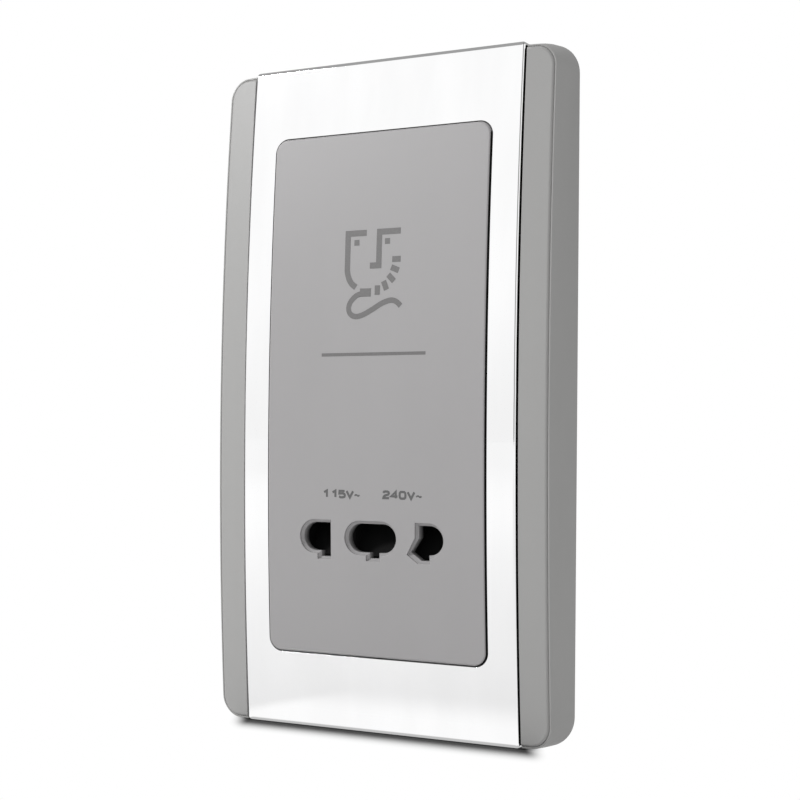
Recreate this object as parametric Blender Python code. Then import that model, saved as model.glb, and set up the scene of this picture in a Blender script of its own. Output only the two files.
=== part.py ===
"""Dual-voltage shaver supply socket on an upright two-gang plate.

X runs to the right, Y into the wall and Z up. The origin is the centre of the wall plane, so
whatever stands in front of the wall has a negative y. All sizes are in metres.
"""
import math

import bmesh
import bpy
from mathutils import Matrix, Vector

# Pin openings, which every other width follows from the inside out
PIN_OPENING_HEIGHT = 0.0073
CENTRE_OPENING_X = -0.0006
CENTRE_ARC_SPREAD = 0.0055  # between the centres of the middle opening's round ends
ROUND_PIN_SPACING = 0.0168
LEFT_FLAT_REACH = 0.0042    # from the left opening's round end's centre to its flat side
RIGHT_FLAT_REACH = 0.00318  # and the same on the right
BLADE_SPACING = 0.0121
BLADE_NOTCH_WIDTH = 0.0034
BLADE_NOTCH_DROP = 0.0012
SLANT_SHIFT = 0.002         # how far the right opening's slanted blade corner reaches out
SLANT_START = 0.0005        # where the slant begins, above the row
SLANT_END = 0.00055         # and where it ends, above the opening's round bottom

# Clearances
SEAT = 0.0003               # between pieces that touch or are screwed together
GUIDE = 0.0003              # between a slide and its guide
SIDE_ROOM = 0.0004          # around a piece that drops into an opening
BACK_ROOM = 0.0013          # behind the coil

# Plate
SIDE_LEAN = 0.00325         # how far each side wall leans in, from the wall to the crease
END_LEAN = 0.001
PLATE_CORNER = 0.0065
CREASE_CORNER = 0.0048
CREASE_BULGE = 0.0002       # added to each side at mid-height
CREASE_ROUND = 0.0012
WING_FRONT = 0.005775       # width of each wing's face
WING_END_RISE = 0.0066      # wing face in front of the wall, at its ends
WING_BOW = 0.0027           # and how much more at mid-height
WALL = 0.002

# Trim frame
TRIM_SIDE_BAND = 0.006475   # from its opening to its long side
TRIM_END_BAND = 0.01605     # from its opening to its end
TRIM_CORNER = 0.001
TRIM_END_RISE = 0.006
TRIM_BOW = 0.00353
TRIM_SKIN = 0.0012
TRIM_FLANGE = 0.003         # depth of its edge, from the face
TRIM_ROUND = 0.0008
TRIM_GROOVE = 0.0006        # from its long sides to the wings
TRIM_OPENING_CORNER = 0.0032
TAB_COUNT = 3               # snap tabs on each long flange
TAB_LENGTH = 0.006
TAB_DEPTH = 0.0022
TAB_SPACING = 0.046
TAB_INSET = 0.0002          # each face of a tab from the flange's faces

# Socket panel
PANEL_GAP = 0.00045         # to the trim frame, all round
PANEL_PROUD = 0.0003
PANEL_SKIN = 0.0018
PANEL_ROUND = 0.0009
LOCATING_DEPTH = 0.004      # from the trim's face back to the end of the locating wall
LOCATING_WALL = 0.0014
COLLAR_WALL = 0.0012
COLLAR_DEPTH = 0.00067      # behind the skin, at the notches

# Surround behind the trim frame
DECK = 0.0016               # wall under the trim frame
DECK_SIDE_SILL = 0.0019     # how far the deck reaches past the trim's opening
DECK_END_SILL = 0.00395
OPENING_CORNER = 0.002
COLLAR_RIB = 0.0016
RIB = 0.0012
RIB_COUNT = 5               # under each wing
RIB_SPACING = 0.024

# Rear housing
HOUSING_WALL = 0.002
HOUSING_ROUND = 0.0015
FLANGE_WIDTH = 0.0024
FLANGE_THICK = 0.0017
FLANGE_FRONT_Y = -0.0023
BAY_FLOOR_Y = 0.020         # rear face of the step that holds the terminal block
VENT_COUNT = 7
VENT_SPACING = 0.005
VENT_WIDTH = 0.0018
VENT_LENGTH = 0.016

# Housing screws, from the rear into the panel's bosses
COLUMN_RADIUS = 0.0035
BOSS_RADIUS = 0.0024
BOSS_ROOM = 0.0005          # from a boss to the shutter's ramps
BOSS_END_ROOM = 0.0002      # from a boss to the housing's end wall
HOUSING_SCREW_SEAT_Y = 0.012
HOUSING_SCREW_RADIUS = 0.00125
HOUSING_SCREW_HEAD = 0.0022
SCREW_TIP_ROOM = 0.002      # from a screw's tip to the end of its pilot hole

# Fixing screws, into the wall box
FIXING_OUTSET = 0.00335     # from the trim's opening to the screw's centre
FIXING_RADIUS = 0.00175
FIXING_HEAD = 0.0034
FIXING_HEAD_HEIGHT = 0.002
FIXING_HEAD_ROOM = 0.00034  # from the head to the trim frame
FIXING_LENGTH = 0.022
FIXING_SLOT = 0.0022        # sideways room for levelling
FIXING_BOSS = 0.0052        # radius of the moulded boss

# Shutter. Heights are above the pin row's centre
SHUTTER_TRAVEL = 0.009
SHUTTER_BACK_Y = -0.0002
SHUTTER_PLATE = 0.004
SHUTTER_TOP = 0.02665
SHUTTER_EDGE = 0.00055      # outside each spring's pocket
RAMP_WALL = 0.0007          # beside the outer openings
RAMP_SILL = 0.002           # solid bar under the ramps
WINDOW_INSET = 0.0005
SIDE_BAR_FOOT = 0.002       # under each spring's lug

# Return springs
SPRING_RADIUS = 0.0012
SPRING_WIRE = 0.0002
SPRING_TURNS = 7
SPRING_LENGTH = 0.015
SPRING_SEAT = 0.00415       # height of the lug's top above the pin row
SPRING_WALL = 0.00035       # between a spring's pocket and the ramps
SPRING_POCKET_DEPTH = 0.0032
LUG_HEIGHT = 0.002

# Contact carrier
CARRIER_FRONT_Y = 0.0001
CARRIER_PLATE = 0.002
CARRIER_TOP_EDGE = 0.0009   # above the shutter
RAIL = 0.0012
CHAMBER_WALL = 0.0013
BLOCK_BACK_Y = 0.012
BLOCK_REAR_WALL = 0.0016

# Contacts
STRIP = 0.0006
CONTACT_GRIP = 0.0038       # between the jaws, where they pinch a pin
CONTACT_FLARE = 0.0005      # how much narrower the mouth is than the root, on each side
TAIL_WIDTH = 0.003
TAIL_REACH = 0.003

# Switch
SWITCH_RISE = 0.01495       # above the pin row
SWITCH_WIDTH = 0.0198
SWITCH_HEIGHT = 0.0064
SWITCH_DEPTH = 0.0102
SWITCH_WALL_REACH = 0.006   # walls that hold it, behind the carrier
SWITCH_TERMINAL = 0.003
SWITCH_TERMINAL_INSET = 0.0024
PLUNGER_WIDTH = 0.003
PLUNGER_HEIGHT = 0.0022
PLUNGER_TRAVEL = 0.001
PLUNGER_TIP_Y = -0.0012
PLUNGER_END_Y = 0.004

# Transformer
CORE_SIDE_ROOM = 0.0025     # to the housing's side walls
CORE_FOOT_ROOM = 0.00685    # to the carrier below
CORE_TOP_ROOM = 0.00945     # to the housing's top wall
CORE_STACK = 0.018
COIL_FRONT_Y = -0.0007
BOBBIN_WALL = 0.001
WINDING_ROUND = 0.003
CORE_SCREW_RADIUS = 0.00125
CORE_SCREW_HEAD = 0.0024
CORE_POST_RADIUS = 0.0028
CUTOUT_WIDTH = 0.010
CUTOUT_HEIGHT = 0.006
CUTOUT_DEPTH = 0.0035

# Terminals
TERMINAL_SPACING = 0.0115
BLOCK_END_WALL = 0.0027     # beside the outer chambers
BLOCK_ROOF = 0.0011         # above the chambers
BLOCK_BACK_WALL = 0.0042    # behind the clamps, with the screws' bores
BLOCK_INSET = 0.0006        # from the housing's foot to the block's
CLAMP_WIDTH = 0.0056
CLAMP_DEPTH = 0.0058
CLAMP_HEIGHT = 0.0100
CLAMP_WALL = 0.0014         # moulded wall in front of the clamp
WIRE_RADIUS = 0.0017
TERMINAL_SCREW_HEAD = 0.0021
TERMINAL_SCREW_RADIUS = 0.0012
TERMINAL_SCREW_LENGTH = 0.0036
TAG_REACH = 0.003           # into the housing
TAG_RISE = 0.0014           # above the terminal screws
CLIP_WALL = 0.0012

# Leads
LEAD_RADIUS = 0.0006
LEAD_STEP = 0.0036

# Smoothness
ROWS = 12                   # steps along the bow
CORNER_STEPS = 4
ROUND_STEPS = 2
CIRCLE_STEPS = 20
OVER = 0.002                # how far a cutter passes the face that it cuts
BITE = 0.0004               # how far a joined shape reaches into the other

# The openings' outlines, and how far they reach to the sides
HALF_PIN_HEIGHT = PIN_OPENING_HEIGHT / 2
CENTRE_LEFT_ARC = CENTRE_OPENING_X - CENTRE_ARC_SPREAD / 2
CENTRE_RIGHT_ARC = CENTRE_OPENING_X + CENTRE_ARC_SPREAD / 2
LEFT_ARC = CENTRE_RIGHT_ARC - ROUND_PIN_SPACING
RIGHT_ARC = CENTRE_LEFT_ARC + ROUND_PIN_SPACING
LEFT_FLAT_X = LEFT_ARC + LEFT_FLAT_REACH
RIGHT_FLAT_X = RIGHT_ARC - RIGHT_FLAT_REACH
OPENING_SPANS = {
    "left": (LEFT_ARC - HALF_PIN_HEIGHT, LEFT_FLAT_X),
    "centre": (CENTRE_LEFT_ARC - HALF_PIN_HEIGHT, CENTRE_RIGHT_ARC + HALF_PIN_HEIGHT),
    "right": (RIGHT_FLAT_X - SLANT_SHIFT, RIGHT_ARC + HALF_PIN_HEIGHT),
}
PIN_REACH = max(-OPENING_SPANS["left"][0], OPENING_SPANS["right"][1])

# Widths, from the openings out to the plate
RAMP_WIDTH = 2 * (PIN_REACH + RAMP_WALL)
HALF_POCKET = SPRING_RADIUS + SPRING_WIRE + GUIDE / 2
SPRING_X = RAMP_WIDTH / 2 + SPRING_WALL + HALF_POCKET
SHUTTER_WIDTH = 2 * (SPRING_X + HALF_POCKET + SHUTTER_EDGE)
CARRIER_WIDTH = SHUTTER_WIDTH + 2 * (GUIDE + RAIL + BITE / 4)
INNER_WIDTH = CARRIER_WIDTH + 2 * SIDE_ROOM
HOUSING_WIDTH = INNER_WIDTH + 2 * HOUSING_WALL
HOUSING_SCREW_X = RAMP_WIDTH / 2 + BOSS_ROOM + BOSS_RADIUS
CORE_UNIT = INNER_WIDTH / 6 - CORE_SIDE_ROOM / 3    # an outer leg, which sets the core's sizes
DECK_WIDTH = INNER_WIDTH
LOCATING_WIDTH = DECK_WIDTH - 2 * SIDE_ROOM
TRIM_OPENING_WIDTH = DECK_WIDTH + 2 * DECK_SIDE_SILL
TRIM_WIDTH = TRIM_OPENING_WIDTH + 2 * TRIM_SIDE_BAND
CREASE_WIDTH = TRIM_WIDTH + 2 * (TRIM_GROOVE + WING_FRONT)
PLATE_WIDTH = CREASE_WIDTH + 2 * SIDE_LEAN
PANEL_WIDTH = TRIM_OPENING_WIDTH - 2 * PANEL_GAP
PANEL_CORNER = TRIM_OPENING_CORNER - PANEL_GAP
BLOCK_WIDTH = 2 * (PIN_REACH + CHAMBER_WALL)
SWITCH_TERMINAL_X = SWITCH_WIDTH / 2 - SWITCH_TERMINAL_INSET
TERMINAL_BLOCK_WIDTH = 2 * (TERMINAL_SPACING + CLAMP_WIDTH / 2 + BLOCK_END_WALL)

# Heights, from the pin row's place in the housing out to the plate
ROW_TO_SHUTTER_FOOT = HALF_PIN_HEIGHT + BLADE_NOTCH_DROP + SEAT + RAMP_SILL
ROW_TO_FLOOR = ROW_TO_SHUTTER_FOOT + SHUTTER_TRAVEL + BOSS_RADIUS + BOSS_ROOM
INNER_HEIGHT = (ROW_TO_FLOOR + SHUTTER_TOP + CARRIER_TOP_EDGE + CORE_FOOT_ROOM
                + 5 * CORE_UNIT + CORE_TOP_ROOM)
HOUSING_HEIGHT = INNER_HEIGHT + 2 * HOUSING_WALL
DECK_HEIGHT = HOUSING_HEIGHT + 2 * (FLANGE_WIDTH - COLLAR_RIB)
LOCATING_HEIGHT = DECK_HEIGHT - 2 * SIDE_ROOM
TRIM_OPENING_HEIGHT = DECK_HEIGHT + 2 * DECK_END_SILL
PANEL_HEIGHT = TRIM_OPENING_HEIGHT - 2 * PANEL_GAP
PLATE_HEIGHT = TRIM_OPENING_HEIGHT + 2 * TRIM_END_BAND
CREASE_HEIGHT = PLATE_HEIGHT - 2 * END_LEAN
FIXING_CENTRES = TRIM_OPENING_HEIGHT + 2 * FIXING_OUTSET
HOUSING_SCREW_Z = INNER_HEIGHT / 2 - BOSS_RADIUS - BOSS_END_ROOM
PIN_ROW_Z = ROW_TO_FLOOR - INNER_HEIGHT / 2
NOTCH_LOW_Z = PIN_ROW_Z - HALF_PIN_HEIGHT - BLADE_NOTCH_DROP
PIN_TOP_Z = PIN_ROW_Z + HALF_PIN_HEIGHT
SHUTTER_TOP_Z = PIN_ROW_Z + SHUTTER_TOP
CARRIER_TOP_Z = SHUTTER_TOP_Z + CARRIER_TOP_EDGE
CARRIER_LOW_Z = SIDE_ROOM - INNER_HEIGHT / 2
SPRING_SEAT_Z = PIN_ROW_Z + SPRING_SEAT
SPRING_TOP_Z = SPRING_SEAT_Z + SPRING_LENGTH
SIDE_BAR_LOW_Z = SPRING_SEAT_Z - LUG_HEIGHT - SIDE_BAR_FOOT
RAIL_LOW_Z = SIDE_BAR_LOW_Z - SHUTTER_TRAVEL - RIB
SWITCH_Z = PIN_ROW_Z + SWITCH_RISE
BLOCK_LOW_Z = NOTCH_LOW_Z - SEAT - CHAMBER_WALL
BLOCK_TOP_Z = PIN_TOP_Z + SEAT + CHAMBER_WALL
BLOCK_MID_Z = (PIN_TOP_Z + NOTCH_LOW_Z) / 2
CONTACT_ROOT = (PIN_TOP_Z - NOTCH_LOW_Z - STRIP) / 2
CORE_CENTRE_Z = INNER_HEIGHT / 2 - CORE_TOP_ROOM - 2.5 * CORE_UNIT
TERMINAL_BLOCK_LOW_Z = BLOCK_INSET - HOUSING_HEIGHT / 2
TERMINAL_BLOCK_TOP_Z = TERMINAL_BLOCK_LOW_Z + RIB + CLAMP_HEIGHT + SEAT + BLOCK_ROOF
TERMINAL_Z = TERMINAL_BLOCK_LOW_Z + RIB + CLAMP_HEIGHT / 2
TAG_Z = TERMINAL_Z + TAG_RISE
BAY_TOP_Z = TERMINAL_BLOCK_TOP_Z + HOUSING_ROUND


def level(y):
    """The same y at every height."""
    return lambda z: y


def bowed(back=0.0):
    """The bowed face of the trim frame as y over z, moved back by this much."""
    return lambda z: back - TRIM_END_RISE - TRIM_BOW * (1 - (2 * z / PLATE_HEIGHT) ** 2)


def wing_face(back=0.0):
    """The bowed face of the wings as y over z, moved back by this much."""
    return lambda z: back - WING_END_RISE - WING_BOW * (1 - (2 * z / PLATE_HEIGHT) ** 2)


# Depths, from the bowed face back
SKIN_BACK = PANEL_SKIN - PANEL_PROUD                # the panel's inner face behind the trim's face
PANEL_LIP = TRIM_SKIN                               # where the panel's edge ends
COLLAR_BACK_Y = bowed(SKIN_BACK)(NOTCH_LOW_Z) + COLLAR_DEPTH
SHUTTER_FRONT_Y = COLLAR_BACK_Y + GUIDE
RAIL_FRONT_Y = bowed(LOCATING_DEPTH)(RAIL_LOW_Z) + SIDE_ROOM
CARRIER_BACK_Y = CARRIER_FRONT_Y + CARRIER_PLATE
TAIL_END_Y = BLOCK_BACK_Y + TAIL_REACH
FIXING_SEAT_Y = (bowed(TRIM_SKIN)(FIXING_CENTRES / 2 + FIXING_HEAD) + FIXING_HEAD_ROOM
                 + FIXING_HEAD_HEIGHT + SEAT)
HOUSING_SCREW_TIP_Y = bowed(SKIN_BACK)(HOUSING_SCREW_Z) + SEAT + SCREW_TIP_ROOM
WINDING_REACH = CORE_UNIT - 2 * SEAT                # from the centre leg to the coil's outside
COIL_DEPTH = CORE_STACK + 2 * SEAT + 2 * WINDING_REACH
CORE_CENTRE_Y = COIL_FRONT_Y + COIL_DEPTH / 2
HOUSING_BACK_Y = COIL_FRONT_Y + COIL_DEPTH + BACK_ROOM + HOUSING_WALL
TERMINAL_BLOCK_DEPTH = CLAMP_WALL + SEAT + CLAMP_DEPTH + SEAT + BLOCK_BACK_WALL
TAG_END_Y = BAY_FLOOR_Y - HOUSING_WALL - TAG_REACH


def clear_scene():
    for item in list(bpy.data.objects):
        bpy.data.objects.remove(item, do_unlink=True)


def material(name, colour, roughness, metallic=0.0):
    made = bpy.data.materials.new(name)
    made.use_nodes = True
    shader = made.node_tree.nodes["Principled BSDF"]
    shader.inputs["Base Color"].default_value = (*colour, 1.0)
    shader.inputs["Roughness"].default_value = roughness
    shader.inputs["Metallic"].default_value = metallic
    return made


def piece_of(name, bm):
    """An object made from the working mesh, with its faces pointing out."""
    bmesh.ops.recalc_face_normals(bm, faces=bm.faces)
    mesh = bpy.data.meshes.new(name)
    bm.to_mesh(mesh)
    bm.free()
    piece = bpy.data.objects.new(name, mesh)
    bpy.context.collection.objects.link(piece)
    return piece


def combine(piece, others, operation):
    """Joins or cuts all the other shapes in one step, and keeps them as hidden helpers."""
    helpers = bpy.data.collections.new(f"{piece.name}_{operation.lower()}")
    for other in others:
        helpers.objects.link(other)
        other.hide_render = True
        other.display_type = "WIRE"
    change = piece.modifiers.new(operation.lower(), "BOOLEAN")
    change.operation = operation
    change.solver = "EXACT"
    change.operand_type = "COLLECTION"
    change.collection = helpers
    return piece


def cut(piece, *others):
    return combine(piece, others, "DIFFERENCE")


def join(piece, *others):
    return combine(piece, others, "UNION")


def round_rows(width, height, radius, bulge=0.0):
    """Rows (left, right, z) across a rounded rectangle, from its top down."""
    corner = []
    for step in range(CORNER_STEPS + 1):
        turn = math.pi / 2 * step / CORNER_STEPS
        corner.append((width / 2 - radius * (1 - math.sin(turn)),
                       height / 2 - radius * (1 - math.cos(turn))))
    straight = height / 2 - radius
    sides = [(width / 2, straight * (1 - 2 * row / ROWS)) for row in range(1, ROWS)]
    lower = [(x, -z) for x, z in reversed(corner)]
    rows = []
    for x, z in corner + sides + lower:
        reach = x + bulge * (1 - (2 * z / height) ** 2)
        rows.append((-reach, reach, z))
    return rows


def block_rows(low_x, high_x, low_z, high_z, steps=ROWS):
    """Rows (left, right, z) across a plain rectangle, from its top down."""
    return [(low_x, high_x, high_z + (low_z - high_z) * row / steps) for row in range(steps + 1)]


def bands_of(rows):
    """Rows where a new band of the face starts. A rounded end is one band with its corners."""
    rounded = rows[1][1] > rows[0][1]
    skipped = CORNER_STEPS if rounded else 1
    return [0, *range(skipped, len(rows) - skipped), len(rows) - 1]


def depths_of(rows, y_at):
    """The face's y at each row, straight across each band, so that every band is flat."""
    depths = []
    bands = bands_of(rows)
    for start, end in zip(bands, bands[1:]):
        high_z, low_z = rows[start][2], rows[end][2]
        for left, right, z in rows[start:end]:
            share = (high_z - z) / (high_z - low_z)
            depths.append(y_at(high_z) * (1 - share) + y_at(low_z) * share)
    return depths + [y_at(rows[-1][2])]


def slab(name, front_rows, back_rows, front, back, rim=0.0):
    """A solid between two stacks of rows, each on its own face. The front rim can be rounded."""
    bm = bmesh.new()
    edge_weight = bm.edges.layers.float.new("bevel_weight_edge")
    sides = []
    for rows, y_at in ((front_rows, front), (back_rows, back)):
        places = list(zip(rows, depths_of(rows, y_at)))
        sides.append([bm.verts.new((left, y, z)) for (left, right, z), y in places])
        sides.append([bm.verts.new((right, y, z)) for (left, right, z), y in places])
    front_left, front_right, back_left, back_right = sides
    last = len(front_rows) - 1
    bands = bands_of(front_rows)
    for one, two in ((front_left, front_right), (back_right, back_left)):
        for start, end in zip(bands, bands[1:]):
            bm.faces.new(one[start:end + 1] + two[start:end + 1][::-1])
    for one, two in ((front_right, back_right), (back_left, front_left)):
        for row in range(last):
            bm.faces.new((one[row], one[row + 1], two[row + 1], two[row]))
    for end in (0, last):
        bm.faces.new((front_left[end], front_right[end], back_right[end], back_left[end]))
    outline = front_left + front_right[::-1]
    for start, end in zip(outline, outline[1:] + outline[:1]):
        bm.edges.get((start, end))[edge_weight] = 1.0
    made = piece_of(name, bm)
    if rim:
        rounding = made.modifiers.new("rim", "BEVEL")
        rounding.limit_method = "WEIGHT"
        rounding.width = rim
        rounding.segments = ROUND_STEPS
    return made


def box(name, x, y, z):
    """A block between three pairs of coordinates."""
    bm = bmesh.new()
    bmesh.ops.create_cube(bm, size=1.0)
    size = Matrix.Diagonal((abs(x[1] - x[0]), abs(y[1] - y[0]), abs(z[1] - z[0]), 1.0))
    centre = Matrix.Translation((sum(x) / 2, sum(y) / 2, sum(z) / 2))
    bmesh.ops.transform(bm, matrix=centre @ size, verts=bm.verts)
    return piece_of(name, bm)


def prism(name, outline, along, low, high):
    """An outline drawn across one axis and extruded along it."""
    place = {"X": lambda u, v, w: (w, u, v),
             "Y": lambda u, v, w: (u, w, v),
             "Z": lambda u, v, w: (u, v, w)}[along]
    bm = bmesh.new()
    face = bm.faces.new([bm.verts.new(place(u, v, low)) for u, v in outline])
    grown = bmesh.ops.extrude_face_region(bm, geom=[face])["geom"]
    moved = [item for item in grown if isinstance(item, bmesh.types.BMVert)]
    bmesh.ops.translate(bm, verts=moved, vec=Vector(place(0, 0, high - low)))
    return piece_of(name, bm)


def turned(name, centre, profile, steps=CIRCLE_STEPS):
    """A profile of (radius, y) turned about the line through centre (x, z) along Y."""
    bm = bmesh.new()
    rings = []
    for radius, y in profile:
        if radius == 0:
            rings.append([bm.verts.new((centre[0], y, centre[1]))] * steps)
            continue
        ring = []
        for step in range(steps):
            turn = 2 * math.pi * step / steps
            ring.append(bm.verts.new((centre[0] + radius * math.cos(turn), y,
                                      centre[1] + radius * math.sin(turn))))
        rings.append(ring)
    for one, two in zip(rings, rings[1:]):
        for step in range(steps):
            after = (step + 1) % steps
            corners = [one[step], one[after], two[after], two[step]]
            kept = [c for i, c in enumerate(corners) if c not in corners[:i]]
            if len(kept) > 2:
                bm.faces.new(kept)
    return piece_of(name, bm)


def cylinder(name, centre, radius, low_y, high_y, steps=CIRCLE_STEPS):
    return turned(name, centre, [(0, low_y), (radius, low_y), (radius, high_y), (0, high_y)], steps)


def screw(name, centre, seat_y, head_side, shank_radius, head_radius, head_height, length):
    """A slotted pan-head screw along Y. head_side is -1 for a head on the front, 1 for the rear."""
    top_y = seat_y + head_side * head_height
    tip_y = seat_y - head_side * length
    profile = [(0, top_y), (head_radius * 0.7, top_y),
               (head_radius, seat_y + head_side * head_height * 0.45), (head_radius, seat_y),
               (shank_radius, seat_y), (shank_radius, tip_y + head_side * shank_radius),
               (shank_radius * 0.4, tip_y), (0, tip_y)]
    made = turned(name, centre, profile, CIRCLE_STEPS // 2)
    slot_floor = top_y - head_side * head_height * 0.4
    slot = box(name + "_slot",
               (centre[0] - head_radius * 1.2, centre[0] + head_radius * 1.2),
               sorted((slot_floor, top_y + head_side * OVER)),
               (centre[1] - head_radius * 0.14, centre[1] + head_radius * 0.14))
    return cut(made, slot)


def strip(name, path, low_x, high_x):
    """A metal strip bent along a path of (y, z) points."""
    near, far = [], []
    for index, (y, z) in enumerate(path):
        normals = []
        for start, end in zip(path[max(index - 1, 0):index + 1], path[index:index + 2]):
            run = Vector((end[0] - start[0], end[1] - start[1]))
            if run.length:
                normals.append(Vector((-run.y, run.x)).normalized())
        for start, end in zip(path[index:index + 1], path[index + 1:index + 2]):
            run = Vector((end[0] - start[0], end[1] - start[1]))
            normals.append(Vector((-run.y, run.x)).normalized())
        across = sum(normals, Vector((0.0, 0.0))).normalized()
        across *= STRIP / 2 / max(across.dot(normals[0]), 0.5)
        near.append((y + across.x, z + across.y))
        far.append((y - across.x, z - across.y))
    return prism(name, near + far[::-1], "X", low_x, high_x)


def arc(centre_x, centre_z, radius, start, end, steps=8):
    """Points along an arc. The angles are in degrees, from +X towards +Z."""
    points = []
    for step in range(steps + 1):
        turn = math.radians(start + (end - start) * step / steps)
        points.append((centre_x + radius * math.cos(turn), centre_z + radius * math.sin(turn)))
    return points


def set_origin(piece, point):
    """Puts the object's origin on its joint's axis."""
    piece.data.transform(Matrix.Translation(-Vector(point)))
    piece.location = point


def finish(piece, kind):
    """Gives a piece its material, as its boolean helpers leave it."""
    piece.data.materials.clear()
    piece.data.materials.append(kind)
    if piece.type == "MESH":
        piece.data.shade_smooth()
        piece.data.set_sharp_from_angle(angle=math.radians(35))
    return piece


def mirrored(x):
    return (-x, x)


def opening_outline(which, grow=0.0):
    """Outline (x, z) of one pin opening, larger by grow on every side."""
    radius = HALF_PIN_HEIGHT + grow
    floor = NOTCH_LOW_Z - grow
    half_notch = BLADE_NOTCH_WIDTH / 2 + grow
    sill = PIN_ROW_Z - radius
    if which == "centre":
        return (arc(CENTRE_LEFT_ARC, PIN_ROW_Z, radius, 90, 270)
                + [(-half_notch, sill), (-half_notch, floor),
                   (half_notch, floor), (half_notch, sill)]
                + arc(CENTRE_RIGHT_ARC, PIN_ROW_Z, radius, -90, 90))
    if which == "left":
        flat = LEFT_FLAT_X + grow
        notch = LEFT_FLAT_X - BLADE_NOTCH_WIDTH - grow
        return (arc(LEFT_ARC, PIN_ROW_Z, radius, 90, 270)
                + [(notch, sill), (notch, floor), (flat, floor), (flat, PIN_ROW_Z + radius)])
    flat = RIGHT_FLAT_X - grow
    notch = BLADE_SPACING + BLADE_NOTCH_WIDTH / 2 + grow
    start = math.degrees(math.asin((notch - RIGHT_ARC) / radius)) - 90
    return (arc(RIGHT_ARC, PIN_ROW_Z, radius, start, 90)
            + [(flat, PIN_ROW_Z + radius), (flat, PIN_ROW_Z + SLANT_START),
               (flat - SLANT_SHIFT, sill + SLANT_END), (flat + SLANT_START, floor),
               (notch, floor)])


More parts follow.
